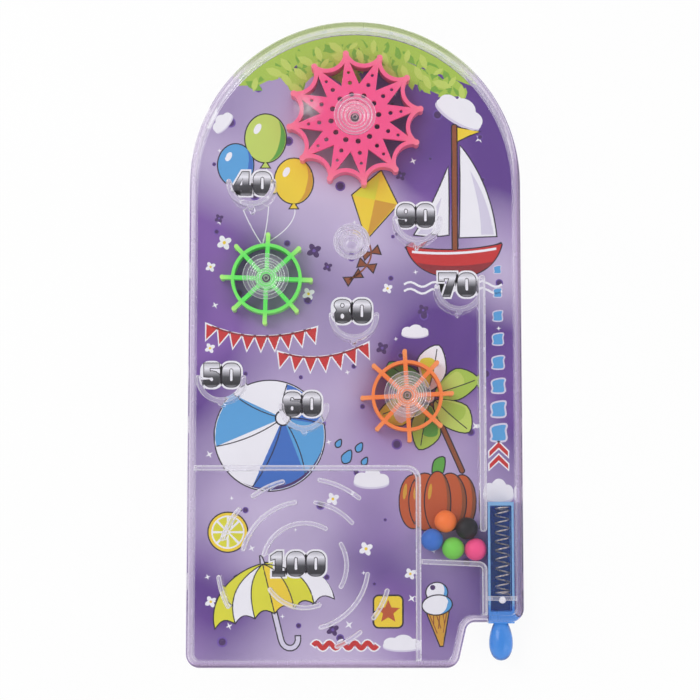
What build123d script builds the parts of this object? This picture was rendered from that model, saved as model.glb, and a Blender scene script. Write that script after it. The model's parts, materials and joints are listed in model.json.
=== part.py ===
"""Hand-held pinball game, in millimetres.

Z is up and the origin is the middle of the underside. The arch is at +Y, and the plunger's knob
stands in the notch at +X and -Y. Every wall of the playfield hangs from the clear cover.
"""

import math
import os

from build123d import *

# Driving sizes
BODY_WIDTH = 120.0
BODY_LENGTH = 234.0
BALL_DIAMETER = 8.0

# Case
FLOOR = 1.6
PLATE = 1.6
CARD = 0.4
TRAY_WALL = 1.4
TONGUE = 1.0
TONGUE_DEPTH = 3.0
CORNER = 5.0
TOP_ROUND = 2.5
FOOT_ROUND = 1.0
PLAY_HEIGHT_SHARE = 1.55
SEAM_SHARE = 0.5

# Notch for the knob
NOTCH_DEPTH = 16.0
NOTCH_WIDTH = 20.0
NOTCH_LEAN = 3.7
NOTCH_ROUND = 3.0

# Clearances
SEAM_FIT = 0.1
CARD_GAP = 0.3
HANG_GAP = 0.4
RUN_GAP = 0.4
SLOT_GAP = 0.3
BALL_GAP = 0.15
PIN_FIT = 0.06
OVERRUN = 1.0

# Snap lugs on the tongue
LUG_LENGTH = 6.0
LUG_HEIGHT = 1.4
LUG_REACH = 0.5
LUG_FIT = 0.1
LUG_SHARES = (-0.74, -0.26, 0.22)

# Shooter lane and ball tray
LANE_SLACK = 2.4
LANE_WALL = 2.6
LANE_TOP_SHARE = 0.2
LANE_GATE = 32.0
TRAY_WIDTH_SHARE = 2.61
RAIL_WALL = 2.0
RAIL_ROUND = 4.0
RAIL_SHARE = -0.395
LEDGE_WALL = 2.0
LEDGE_ROUND = 2.0
LEDGE_RISE = 22.5
LEDGE_SLOPE = 2.5

# Maze
MAZE_MARGIN = 2.9
MAZE_WALL = 1.8
MAZE_SHARES = {"inner": 0.487, "middle": 0.736, "outer": 1.0}
MAZE_ARCS = {
    "inner": ((60, 105), (-30, 60), (215, 75)),
    "middle": ((99, 66), (42, 38), (-75, 67)),
    "outer": ((140, 22), (105, 22), (51, 29), (-37, 20), (-68, 18), (188, 20)),
}

# Score cups
CUP_ROOM = 3.1
CUP_WALL = 2.0
CUP_SWEEP = 180.0
CUP_NUB = 1.1
CUP_SHARES = {
    "40": (-0.627, 0.491),
    "60": (-0.305, -0.205),
    "80": (-0.006, 0.075),
    "90": (0.378, 0.376),
}
LEFT_CUP_SHARE = -0.119
LANE_CUP_SHARE = 0.163

# Stepped bosses
BOSS_STEPS = 4
BOSS_STEP = 1.2
BOSS_WALL = 1.3
PIN_RADIUS = 1.5
SHOULDER = 3.4
SPINNER_BOSS_RADII = {"pink": 7.65, "green": 8.4, "orange": 8.4}
BUMPER_RADIUS = 6.7
BUMPER_POST = 4.6
BUMPER_SHARES = (-0.02, 0.304)

# Spinners
SPINNER_FOOT_GAP = 0.6
SPINNER_HEIGHT = 6.0
SPINNER_SHARES = {"green": (-0.537, 0.195), "orange": (0.315, -0.17)}
WEB_ARCH_SHARE = 0.422
WEB_ARMS = 12
WEB_TURN = 7.9
WEB_TIP = 24.3
WEB_VALLEY = 12.7
WEB_SAG = 19.7
WEB_RIB = 1.5
WEB_PLATE = 1.6
WEB_POST = 1.1
WEB_HUB = 4.6
WEB_HOLES = ((8.8, 1.0), (13.2, 0.8), (17.1, 0.6))
WHEEL_SPOKES = 8
WHEEL_TURNS = {"green": -2.0, "orange": 3.0}
WHEEL_TIP = 16.1
WHEEL_RING = 12.3
WHEEL_BAND = 1.2
WHEEL_SPOKE = 1.5
WHEEL_SPOKE_DEPTH = 3.0
WHEEL_POST = 0.85
WHEEL_HUB = 3.9

# Plunger
PLUNGER_REACH = 42.8
PLUNGER_HEIGHT = 7.0
PLUNGER_SLACK = 0.5
PLUNGER_HEAD = 1.4
PLUNGER_RAIL = 0.9
PLUNGER_FLOOR = 1.2
PLUNGER_TAIL = 3.8
PLUNGER_SHOULDER = 0.5
KNOB_NECK = 2.6
KNOB_RADIUS = 4.3
KNOB_BELLY = 7.3
KNOB_TIP = 6.0
KNOB_NOSE = 3.7

# Spring and its stop
STOP_RISE = 8.0
STOP_BAR = 1.6
STOP_POST = 1.3
SPRING_RADIUS = 2.5
SPRING_WIRE = 0.6
SPRING_SIDES = 6
SPRING_TURNS = 9
SPRING_END_PITCH = 1.15
SPRING_END_GAP = 0.1
SPRING_FLOOR_GAP = 0.4
SPRING_SIDE_GAP = 0.3
SPRING_GAP_LEAST = 0.4
QUARTERS = 4
GAP_SAMPLES = 6

# Worked out from the sizes above
HALF_WIDTH = BODY_WIDTH / 2
HALF_LENGTH = BODY_LENGTH / 2
BALL_RADIUS = BALL_DIAMETER / 2
ARCH_Y = HALF_LENGTH - HALF_WIDTH
NOTCH_Y = NOTCH_DEPTH - HALF_LENGTH
RIM = TRAY_WALL + SEAM_FIT + TONGUE
INNER_X = HALF_WIDTH - RIM
CARD_TOP = FLOOR + CARD
COVER_UNDER = CARD_TOP + PLAY_HEIGHT_SHARE * BALL_DIAMETER
BODY_HEIGHT = COVER_UNDER + PLATE
SEAM_Z = SEAM_SHARE * BODY_HEIGHT
TONGUE_Z = SEAM_Z - TONGUE_DEPTH
HANG_Z = CARD_TOP + HANG_GAP

LANE_WIDTH = BALL_DIAMETER + LANE_SLACK
LANE_X = INNER_X - LANE_WIDTH / 2
LANE_WALL_X = INNER_X - LANE_WIDTH - LANE_WALL / 2
TRAY_RIGHT = LANE_WALL_X - LANE_WALL / 2
TRAY_LEFT = TRAY_RIGHT - TRAY_WIDTH_SHARE * BALL_DIAMETER
RAIL_X = TRAY_LEFT - RAIL_WALL / 2
RAIL_Y = RAIL_SHARE * HALF_LENGTH
LEDGE_X = INNER_X - LANE_WIDTH - LEDGE_WALL / 2
LEDGE_Y = NOTCH_Y + LEDGE_RISE
LEDGE_GRADE = math.tan(math.radians(LEDGE_SLOPE))
LEDGE_COSINE = math.cos(math.radians(LEDGE_SLOPE))
CUP_RADIUS = BALL_RADIUS + CUP_ROOM + CUP_WALL / 2

PLUNGER_WIDTH = LANE_WIDTH - 2 * PLUNGER_SLACK
PLUNGER_Z = CARD_TOP + RUN_GAP
PLUNGER_TOP = PLUNGER_Z + PLUNGER_HEIGHT
PLUNGER_FRONT = NOTCH_Y + PLUNGER_REACH
PLUNGER_BACK = NOTCH_Y - PLUNGER_SHOULDER
TROUGH_Z = PLUNGER_Z + PLUNGER_FLOOR
TROUGH_WIDTH = PLUNGER_WIDTH - 2 * PLUNGER_RAIL
HEAD_Y = PLUNGER_FRONT - PLUNGER_HEAD
STOP_Y = NOTCH_Y + STOP_RISE
STOP_FRONT = STOP_Y + STOP_POST
TAIL_Y = NOTCH_Y + PLUNGER_TAIL
KNOB_Z = PLUNGER_Z + PLUNGER_HEIGHT / 2
SPRING_REACH = SPRING_RADIUS + SPRING_WIRE / 2
SPRING_X = LANE_X + TROUGH_WIDTH / 2 - SPRING_SIDE_GAP - SPRING_REACH
SPRING_Z = TROUGH_Z + SPRING_FLOOR_GAP + SPRING_REACH

SPINNER_Z = CARD_TOP + SPINNER_FOOT_GAP
SPINNER_TOP = SPINNER_Z + SPINNER_HEIGHT


def at_shares(shares):
    """A place on the playfield, from shares of the half width and half length."""
    return shares[0] * HALF_WIDTH, shares[1] * HALF_LENGTH


def turned(radius, degrees):
    """The point at a radius and an angle about the origin."""
    angle = math.radians(degrees)
    return radius * math.cos(angle), radius * math.sin(angle)


def block(low, high):
    """A box from its lowest to its highest corner."""
    sides = [b - a for a, b in zip(low, high)]
    align = (Align.MIN, Align.MIN, Align.MIN)
    return Pos(*low) * Box(*sides, align=align)


def between(plan, low, high):
    """A plan outline made solid from one height to another."""
    return Pos(0, 0, low) * extrude(plan, high - low)


def hang(plan):
    """A playfield wall, from the cover's underside to just over the card."""
    return between(plan, HANG_Z, COVER_UNDER)


# Case


def outline(inset):
    """The body's plan, drawn in by an inset from its outer face."""
    half = HALF_WIDTH - inset
    bottom = inset - HALF_LENGTH
    shelf = NOTCH_Y + inset
    slant = NOTCH_LEAN / NOTCH_DEPTH
    foot = HALF_WIDTH - NOTCH_WIDTH - NOTCH_LEAN - inset * math.hypot(1, slant)

    def side(y):
        return foot + (y + HALF_LENGTH) * slant

    corners = [
        (half, ARCH_Y),
        (half, shelf),
        (side(shelf), shelf),
        (side(bottom), bottom),
        (-half, bottom),
        (-half, ARCH_Y),
    ]
    convex = CORNER - inset
    edge = FilletPolyline(*corners, radius=[convex, NOTCH_ROUND + inset, convex, convex])
    arch = ThreePointArc(corners[0], (0, ARCH_Y + half), corners[-1])
    return make_face(edge.edges() + arch.edges())


def snap_lugs(grow):
    """Ramped lugs on both long sides of the tongue, or with grow their pockets in the tray wall."""
    face_x = HALF_WIDTH - TRAY_WALL - SEAM_FIT
    reach = LUG_REACH + grow
    low = TONGUE_Z + TONGUE_DEPTH / 2 - LUG_HEIGHT / 2
    high = low + LUG_HEIGHT
    points = [(0, low - grow), (reach, low + reach - grow), (reach, high + grow), (0, high + grow)]
    profile = Plane.XZ * make_face(Polyline(*points, close=True))
    lug = extrude(profile, LUG_LENGTH / 2 + grow, both=True)
    right = [Pos(face_x, share * HALF_LENGTH, 0) * lug for share in LUG_SHARES]
    left = [mirror(one, about=Plane.YZ) for one in right]
    return right + left


def plunger_slot(low, high):
    """The way that the plunger takes through the notch wall and past its round corner."""
    half = PLUNGER_WIDTH / 2 + SLOT_GAP
    return block((LANE_X - half, NOTCH_Y - OVERRUN, low), (LANE_X + half, NOTCH_Y + CORNER + OVERRUN, high))


def base_tray():
    tray = between(outline(0), 0, SEAM_Z)
    tray = fillet(tray.edges().group_by(Axis.Z)[0], FOOT_ROUND)
    tray -= between(outline(TRAY_WALL), FLOOR, SEAM_Z + OVERRUN)
    tray -= plunger_slot(PLUNGER_Z - SLOT_GAP, SEAM_Z + OVERRUN)
    return tray - snap_lugs(LUG_FIT)


def printed_card():
    return between(outline(TRAY_WALL + CARD_GAP), FLOOR, CARD_TOP)


def clear_cover():
    cover = between(outline(0), SEAM_Z, BODY_HEIGHT)
    cover = fillet(cover.edges().group_by(Axis.Z)[-1], TOP_ROUND)
    cover += between(outline(TRAY_WALL + SEAM_FIT), TONGUE_Z, SEAM_Z)
    cover -= between(outline(RIM), TONGUE_Z - OVERRUN, COVER_UNDER)
    cover -= plunger_slot(TONGUE_Z - OVERRUN, PLUNGER_TOP + SLOT_GAP)
    cover += snap_lugs(0)
    for place, radius in boss_places():
        cover -= Pos(*place, BODY_HEIGHT) * Cylinder(radius - 2 * BOSS_WALL, 2 * PLATE + OVERRUN)
    return cover


# Playfield walls


def lane_wall():
    low = NOTCH_Y + LANE_GATE
    high = LANE_TOP_SHARE * HALF_LENGTH
    plan = SlotOverall(high - low, LANE_WALL, rotation=90)
    return hang(Pos(LANE_WALL_X, (low + high) / 2) * plan)


def drain_rail():
    """The rail over the maze, turned down into the left wall of the ball tray."""
    bottom = RIM - HALF_LENGTH
    path = FilletPolyline((-INNER_X, RAIL_Y), (RAIL_X, RAIL_Y), (RAIL_X, bottom), radius=RAIL_ROUND)
    return hang(trace(path, RAIL_WALL))


def ledge_top(x):
    """The height in Y of the ledge's sloping top face."""
    return LEDGE_Y - (x - TRAY_LEFT) * LEDGE_GRADE


def ball_ledge():
    """The slope that the balls roll down, turned down into the lower wall of the lane."""
    drop = LEDGE_WALL / 2 / LEDGE_COSINE
    start = (RAIL_X, ledge_top(RAIL_X) - drop)
    turn = (LEDGE_X, ledge_top(LEDGE_X) - drop)
    end = (LEDGE_X, NOTCH_Y + RIM)
    plan = trace(FilletPolyline(start, turn, end, radius=LEDGE_ROUND), LEDGE_WALL)
    return hang(plan) - drain_rail()


def maze_ring(name):
    """One broken ring of the maze, centred in the pocket under the drain rail."""
    pocket_right = RAIL_X - RAIL_WALL / 2
    pocket_top = RAIL_Y - RAIL_WALL / 2
    pocket_bottom = RIM - HALF_LENGTH
    centre = ((pocket_right - INNER_X) / 2, (pocket_top + pocket_bottom) / 2)
    room = min(pocket_right + INNER_X, pocket_top - pocket_bottom) / 2
    radius = MAZE_SHARES[name] * (room - MAZE_MARGIN)
    arcs = [CenterArc(centre, radius, start, sweep) for start, sweep in MAZE_ARCS[name]]
    return [hang(SlotArc(arc, MAZE_WALL)) for arc in arcs]


def score_cup(place):
    """A half ring open to the arch, with a nub under it."""
    ring = SlotArc(CenterArc((0, 0), CUP_RADIUS, CUP_SWEEP, CUP_SWEEP), CUP_WALL)
    nub = Pos(0, -CUP_RADIUS - CUP_WALL / 2) * Circle(CUP_NUB)
    return hang(Pos(*place) * (ring + nub))


def cup_places():
    places = {name: at_shares(shares) for name, shares in CUP_SHARES.items()}
    outer = CUP_RADIUS + CUP_WALL / 2
    places["50"] = (outer + SLOT_GAP - INNER_X, LEFT_CUP_SHARE * HALF_LENGTH)
    places["70"] = (LANE_WALL_X - CUP_RADIUS, LANE_CUP_SHARE * HALF_LENGTH)
    return places


def lane_cup():
    """The score cup whose right arm ends at the lane wall."""
    return score_cup(cup_places()["70"]) - lane_wall()


# Bosses


def stepped_boss(radius, shank, foot, well_foot):
    """A turned boss under the cover: steps down to a shank, with a stepped well open to the top."""
    inward = (radius - shank) / (BOSS_STEPS - 1)
    outer, well = [], []
    for step in range(BOSS_STEPS):
        edge = radius - step * inward
        top = COVER_UNDER - step * BOSS_STEP
        outer += [(edge, top), (edge, top - BOSS_STEP)]
        bore = max(edge - 2 * BOSS_WALL, BOSS_WALL / 2)
        well += [(bore, top), (bore, top - BOSS_STEP)]
    outer[-1] = (shank, foot)
    well[-1] = (well[-1][0], well_foot)
    points = outer + [(0, foot), (0, well_foot)] + well[::-1]
    return revolve(Plane.XZ * make_face(Polyline(*points, close=True)), Axis.Z)


def spinner_place(name):
    if name == "pink":
        return 0, ARCH_Y + WEB_ARCH_SHARE * HALF_WIDTH
    return at_shares(SPINNER_SHARES[name])


def boss_places():
    """The middle and outer radius of every boss."""
    places = [(spinner_place(name), radius) for name, radius in SPINNER_BOSS_RADII.items()]
    return places + [(at_shares(BUMPER_SHARES), BUMPER_RADIUS)]


def spinner_boss(name):
    """A boss whose shoulder and pin carry a spinner."""
    shoulder_z = SPINNER_TOP + RUN_GAP
    boss = stepped_boss(SPINNER_BOSS_RADII[name], SHOULDER, shoulder_z, shoulder_z + BOSS_WALL)
    pin_length = shoulder_z - HANG_Z
    boss += Pos(0, 0, HANG_Z + pin_length / 2) * Cylinder(PIN_RADIUS, pin_length)
    return Pos(*spinner_place(name)) * boss


def bumper_boss():
    boss = stepped_boss(BUMPER_RADIUS, BUMPER_POST, HANG_Z, HANG_Z + BOSS_WALL)
    return Pos(*at_shares(BUMPER_SHARES)) * boss


# Spinners


def hub_bore():
    return Cylinder(PIN_RADIUS + PIN_FIT, BODY_HEIGHT * 2)


def web_spinner():
    """A star plate over scalloped ribs that run from tip to tip, drilled along its arms."""
    pitch = 360 / WEB_ARMS
    star, ribs = [], [Circle(WEB_HUB)]
    for arm in range(WEB_ARMS):
        start = WEB_TURN + arm * pitch
        star += [turned(WEB_TIP, start), turned(WEB_VALLEY, start + pitch / 2)]
        sag = turned(WEB_SAG, start + pitch / 2)
        rib = ThreePointArc(turned(WEB_TIP, start), sag, turned(WEB_TIP, start + pitch))
        ribs += [SlotArc(rib, WEB_RIB), Pos(*turned(WEB_TIP, start)) * Circle(WEB_POST)]
    holes = [
        Pos(*turned(radius, WEB_TURN + arm * pitch)) * Circle(hole)
        for radius, hole in WEB_HOLES
        for arm in range(WEB_ARMS)
    ]
    plate = make_face(Polyline(*star, close=True)) - holes
    web = between(Sketch() + ribs, SPINNER_Z, SPINNER_TOP)
    web += between(plate, SPINNER_TOP - WEB_PLATE, SPINNER_TOP)
    return Pos(*spinner_place("pink")) * (web - hub_bore())


def wheel_spinner(name):
    """A ship's wheel: ring, hub and shallow spokes that end in tall posts outside the ring."""
    half_band = WHEEL_BAND / 2
    ring = Circle(WHEEL_RING + half_band) - Circle(WHEEL_RING - half_band)
    angles = [WHEEL_TURNS[name] + spoke * 360 / WHEEL_SPOKES for spoke in range(WHEEL_SPOKES)]
    posts = [Pos(*turned(WHEEL_TIP, angle)) * Circle(WHEEL_POST) for angle in angles]
    arm = Pos(WHEEL_TIP / 2, 0) * Rectangle(WHEEL_TIP, WHEEL_SPOKE)
    arms = [Rot(0, 0, angle) * arm for angle in angles]
    wheel = between(Sketch() + [ring, Circle(WHEEL_HUB)] + posts, SPINNER_Z, SPINNER_TOP)
    wheel += between(Sketch() + arms, SPINNER_TOP - WHEEL_SPOKE_DEPTH, SPINNER_TOP)
    return Pos(*spinner_place(name)) * (wheel - hub_bore())


# Plunger and spring


def knob():
    """An egg turned about the plunger's line, narrow at its neck."""
    nose_drop = KNOB_TIP - KNOB_NOSE
    swell = KNOB_RADIUS - KNOB_NOSE
    offset_x = (nose_drop**2 - swell**2) / (2 * swell)
    bend = math.degrees(math.atan2(nose_drop, offset_x))
    nose = CenterArc((0, -KNOB_BELLY - nose_drop), KNOB_NOSE, -90, 90 - bend)
    shoulder = CenterArc((-offset_x, -KNOB_BELLY), offset_x + KNOB_RADIUS, -bend, bend)
    flank = TangentArc((KNOB_RADIUS, -KNOB_BELLY), (KNOB_NECK, 0), tangent=(0, 1))
    closing = Polyline((KNOB_NECK, 0), (0, 0), (0, -KNOB_BELLY - KNOB_TIP))
    profile = make_face(nose.edges() + shoulder.edges() + flank.edges() + closing.edges())
    return Pos(LANE_X, PLUNGER_BACK, KNOB_Z) * revolve(profile, Axis.Y)


def plunger():
    """A trough that holds the spring, with a head for the ball and a knob to pull."""
    half = PLUNGER_WIDTH / 2
    trough_half = TROUGH_WIDTH / 2
    body = block((LANE_X - half, PLUNGER_BACK, PLUNGER_Z), (LANE_X + half, PLUNGER_FRONT, PLUNGER_TOP))
    low = (LANE_X - trough_half, TAIL_Y, TROUGH_Z)
    body -= block(low, (LANE_X + trough_half, HEAD_Y, PLUNGER_TOP + OVERRUN))
    return body + knob()


def spring_stop():
    """A bar across the lane, with a tab down into the trough that the spring bears on."""
    tab_half = TROUGH_WIDTH / 2 - RUN_GAP
    tab_z = TROUGH_Z + RUN_GAP
    lane_left = INNER_X - LANE_WIDTH
    bar_back = STOP_FRONT - STOP_BAR
    bar = block((lane_left, bar_back, PLUNGER_TOP + RUN_GAP), (INNER_X, STOP_FRONT, COVER_UNDER))
    tab = block((LANE_X - tab_half, bar_back, tab_z), (LANE_X + tab_half, STOP_FRONT, COVER_UNDER))
    post = between(Pos(LANE_X, STOP_Y) * Circle(STOP_POST), tab_z, COVER_UNDER)
    return bar + tab + post


def spring_stations():
    """Points on the spring's line, one each quarter turn, with their tangents; its end turns lie close."""
    first = HEAD_Y - SPRING_END_GAP - SPRING_WIRE / 2
    last = STOP_FRONT + SPRING_END_GAP + SPRING_WIRE / 2
    pitch = (first - last - 2 * SPRING_END_PITCH) / SPRING_TURNS
    pitches = [SPRING_END_PITCH] + [pitch] * SPRING_TURNS + [SPRING_END_PITCH]
    steps = [turn / QUARTERS for turn in pitches for _ in range(QUARTERS)]
    quarter = math.pi / 2
    stations, y = [], first
    for number in range(len(steps) + 1):
        before, after = steps[max(number - 1, 0)], steps[min(number, len(steps) - 1)]
        angle = number * quarter
        along = math.cos(angle), math.sin(angle)
        point = Vector(SPRING_X + SPRING_RADIUS * along[0], y, SPRING_Z + SPRING_RADIUS * along[1])
        rise = -(before + after) / 2
        tangent = Vector(-SPRING_RADIUS * quarter * along[1], rise, SPRING_RADIUS * quarter * along[0])
        stations.append((point, tangent.normalized()))
        y -= after
    return stations


def biarc(start, start_way, end, end_way):
    """Two tangent arcs from one point to another, with a given direction at each."""
    chord = end - start
    ways = start_way + end_way
    spread = 2 * (1 - start_way.dot(end_way))
    reach = chord.dot(ways)
    arm = (math.sqrt(reach**2 + spread * chord.dot(chord)) - reach) / spread
    corner_a, corner_b = start + start_way * arm, end - end_way * arm
    middle = (corner_a + corner_b) * 0.5
    first = TangentArc(start, middle, tangent=start_way)
    second = TangentArc(middle, end, tangent=(corner_b - corner_a).normalized())
    return first.edges() + second.edges()


def least_gap(path):
    """The least room between one turn and the next, measured on points of the path."""
    points = [edge @ (share / GAP_SAMPLES) for edge in path for share in range(GAP_SAMPLES)]
    turn = 2 * QUARTERS * GAP_SAMPLES
    apart = [
        (point - other).length
        for number, point in enumerate(points)
        for other in points[number + turn // 2 : number + 3 * turn // 2]
    ]
    return min(apart) - SPRING_WIRE


def plunger_spring():
    """One unbroken wire with closed end turns, lying towards the outer rail of the trough."""
    stations = spring_stations()
    path = []
    for (start, start_way), (end, end_way) in zip(stations, stations[1:]):
        path += biarc(start, start_way, end, end_way)
    gap = least_gap(path)
    print(f"plunger_spring least gap {gap:.3f} mm")
    if gap <= SPRING_GAP_LEAST:
        raise ValueError("the spring's turns lie too close")
    start, way = stations[0]
    section = Plane(start, z_dir=way) * RegularPolygon(SPRING_WIRE / 2, SPRING_SIDES)
    return sweep(section, path=Wire(path))


# Balls


def on_ledge(x):
    """Where a ball rests on the ledge, from its X."""
    return x, ledge_top(x) + (BALL_RADIUS + BALL_GAP) / LEDGE_COSINE


def resting(x, ball):
    """Where a ball rests, from its X: on the ledge, or on the arch side of another ball."""
    pitch = BALL_DIAMETER + BALL_GAP
    room = max(pitch**2 - (x - ball[0]) ** 2, 0)
    return x, max(on_ledge(x)[1], ball[1] + math.sqrt(room))


def over_both(left, right):
    """Where a ball lies against two others, on the arch side of them."""
    pitch = BALL_DIAMETER + BALL_GAP
    dx, dy = right[0] - left[0], right[1] - left[1]
    apart = math.hypot(dx, dy)
    rise = math.sqrt(max(pitch**2 - apart**2 / 4, 0)) / apart
    return (left[0] + right[0]) / 2 - dy * rise, (left[1] + right[1]) / 2 + dx * rise


def ball_places():
    """The five balls as they lie in the tray, two on the ledge and three on those."""
    reach = BALL_RADIUS + BALL_GAP
    pink = on_ledge(LANE_X - PLUNGER_WIDTH / 2 - reach)
    green = on_ledge(pink[0] - (BALL_DIAMETER + BALL_GAP) * LEDGE_COSINE)
    blue = resting(TRAY_LEFT + reach, green)
    black = resting(TRAY_RIGHT - reach, pink)
    orange = over_both(blue, black)
    lying = {"orange": orange, "black": black, "blue": blue, "green": green, "pink": pink}
    return {name: (*place, CARD_TOP + reach) for name, place in lying.items()}


def all_nodes():
    nodes = {
        "base_tray": base_tray(),
        "printed_card": printed_card(),
        "clear_cover": clear_cover(),
        "lane_wall": lane_wall(),
        "drain_rail": drain_rail(),
        "ball_ledge": ball_ledge(),
        "bumper_boss": bumper_boss(),
        "spring_stop": spring_stop(),
        "plunger": plunger(),
        "plunger_spring": plunger_spring(),
        "pink_spinner": web_spinner(),
        "green_spinner": wheel_spinner("green"),
        "orange_spinner": wheel_spinner("orange"),
    }
    for name in MAZE_ARCS:
        nodes[f"maze_{name}_ring"] = Compound(children=maze_ring(name))
    for name, place in cup_places().items():
        nodes[f"score_cup_{name}"] = score_cup(place)
    nodes["score_cup_70"] = lane_cup()
    for name in SPINNER_BOSS_RADII:
        nodes[f"{name}_spinner_boss"] = spinner_boss(name)
    for name, place in ball_places().items():
        nodes[f"{name}_ball"] = Pos(*place) * Sphere(BALL_RADIUS)
    return nodes


def main():
    os.makedirs("parts", exist_ok=True)
    for name, shape in all_nodes().items():
        export_step(shape, f"parts/{name}.step")


if __name__ == "__main__":
    main()
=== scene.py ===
"""Finish of the hand-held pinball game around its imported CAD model.

It dresses the moulded parts, prints the card, winds the plunger spring and sets the stage. Print
sizes are written in millimetres on the card's face and made metres when a mesh is built.
"""

import functools
import json
import math

import bmesh
import bpy
from bpy.props import FloatProperty, FloatVectorProperty, IntProperty, PointerProperty
from bpy.types import Operator, Panel, PropertyGroup
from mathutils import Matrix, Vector
from mathutils.geometry import tessellate_polygon

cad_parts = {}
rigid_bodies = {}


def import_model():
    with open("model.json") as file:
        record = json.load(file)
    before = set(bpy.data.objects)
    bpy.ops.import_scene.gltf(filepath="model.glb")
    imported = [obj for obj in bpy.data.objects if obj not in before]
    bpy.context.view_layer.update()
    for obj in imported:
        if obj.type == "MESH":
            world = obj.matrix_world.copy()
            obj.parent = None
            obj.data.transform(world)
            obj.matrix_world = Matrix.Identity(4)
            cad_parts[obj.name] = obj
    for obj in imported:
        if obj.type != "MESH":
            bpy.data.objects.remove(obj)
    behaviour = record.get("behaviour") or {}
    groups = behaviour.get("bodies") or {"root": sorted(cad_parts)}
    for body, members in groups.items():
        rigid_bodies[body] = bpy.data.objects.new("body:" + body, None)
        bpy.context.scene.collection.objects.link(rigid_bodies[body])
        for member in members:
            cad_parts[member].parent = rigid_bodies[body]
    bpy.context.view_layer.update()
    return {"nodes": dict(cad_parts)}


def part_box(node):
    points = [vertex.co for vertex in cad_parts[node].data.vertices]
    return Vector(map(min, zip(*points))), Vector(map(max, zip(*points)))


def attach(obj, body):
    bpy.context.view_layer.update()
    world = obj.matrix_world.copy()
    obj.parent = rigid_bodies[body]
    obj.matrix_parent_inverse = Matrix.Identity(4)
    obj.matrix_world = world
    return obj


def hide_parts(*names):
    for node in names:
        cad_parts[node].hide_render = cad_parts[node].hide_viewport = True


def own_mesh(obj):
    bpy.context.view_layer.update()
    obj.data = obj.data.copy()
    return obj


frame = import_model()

bl_info = {
    "name": "Pinball game finish",
    "version": (1, 0, 0),
    "blender": (4, 5, 0),
    "location": "3D View > Sidebar > Pinball",
    "description": "Materials, card print, plunger spring and stage of a hand-held pinball game",
    "category": "Object",
}

MM = 0.001
NODES = frame["nodes"]
CARD_LOW, CARD_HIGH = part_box("printed_card")
CARD_TOP = CARD_HIGH.z
COVER_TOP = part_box("clear_cover")[1].z
CASE = "game_case"

WALL_NODES = (
    "lane_wall",
    "drain_rail",
    "ball_ledge",
    "spring_stop",
    *(f"maze_{ring}_ring" for ring in ("inner", "middle", "outer")),
    *(f"score_cup_{score}" for score in range(40, 100, 10)),
)
BOSS_NODES = ("bumper_boss", "pink_spinner_boss", "green_spinner_boss", "orange_spinner_boss")
SPINNERS = ("pink", "green", "orange")
BALLS = ("orange", "black", "blue", "green", "pink")

# Merging and edge angles of moulded copies, and the heights between which tray and cover join
MERGE = 0.000001
FLAT_ANGLE = math.radians(1)
SHARP_ANGLE = math.radians(40)
FLAT_FACE = 0.999
JOINT_LOW, JOINT_HIGH = 4.5 * MM, 8.5 * MM

# Roughness of the finishes, least and greatest
MATT = (0.2, 0.35)
SATIN = (0.3, 0.45)
TROUGH_GLOSS = (0.12, 0.26)
BALL_GLOSS = (0.32, 0.5)
WIRE_GLOSS = (0.22, 0.42)
CLEAR_SPAN = 0.05

# Bounces after which a ray goes straight through clear plastic, and what is left of it
MIRROR_LIMIT, GLASS_LIMIT = 1.5, 7.5
THROUGH_TINT = (0.965, 0.96, 0.97)

LAMP_SIZE = 0.7
SENSOR_WIDTH = 36

# Print levels, from the card's face up, and the parts of a level between overlapping shapes
GROUND, BACK, LINE, FILL, MARK, HALO, RIM, FACE = range(8)
PETAL = 0.4
OVERLAP = 0.1
SCATTER_STEP = 0.002
DOT_PITCH = 0.0004


def shade(red, green, blue):
    """A screen colour from 0 to 255 as the linear values that nodes take."""

    def linear(value):
        part = value / 255
        return part / 12.92 if part <= 0.04045 else ((part + 0.055) / 1.055) ** 2.4

    return tuple(linear(value) for value in (red, green, blue))


def colour(name, description, *screen):
    """A colour property, with its default as a screen colour."""
    settings = {"subtype": "COLOR", "size": 3, "min": 0, "max": 1, "default": shade(*screen)}
    return FloatVectorProperty(name=name, description=description, **settings)


def length(name, description, default):
    """A length property in metres."""
    settings = {"default": default, "min": 0, "precision": 5, "unit": "LENGTH"}
    return FloatProperty(name=name, description=description, **settings)


def share(name, description, default):
    """A property from 0 to 1."""
    settings = {"default": default, "min": 0, "max": 1, "subtype": "FACTOR"}
    return FloatProperty(name=name, description=description, **settings)


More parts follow.
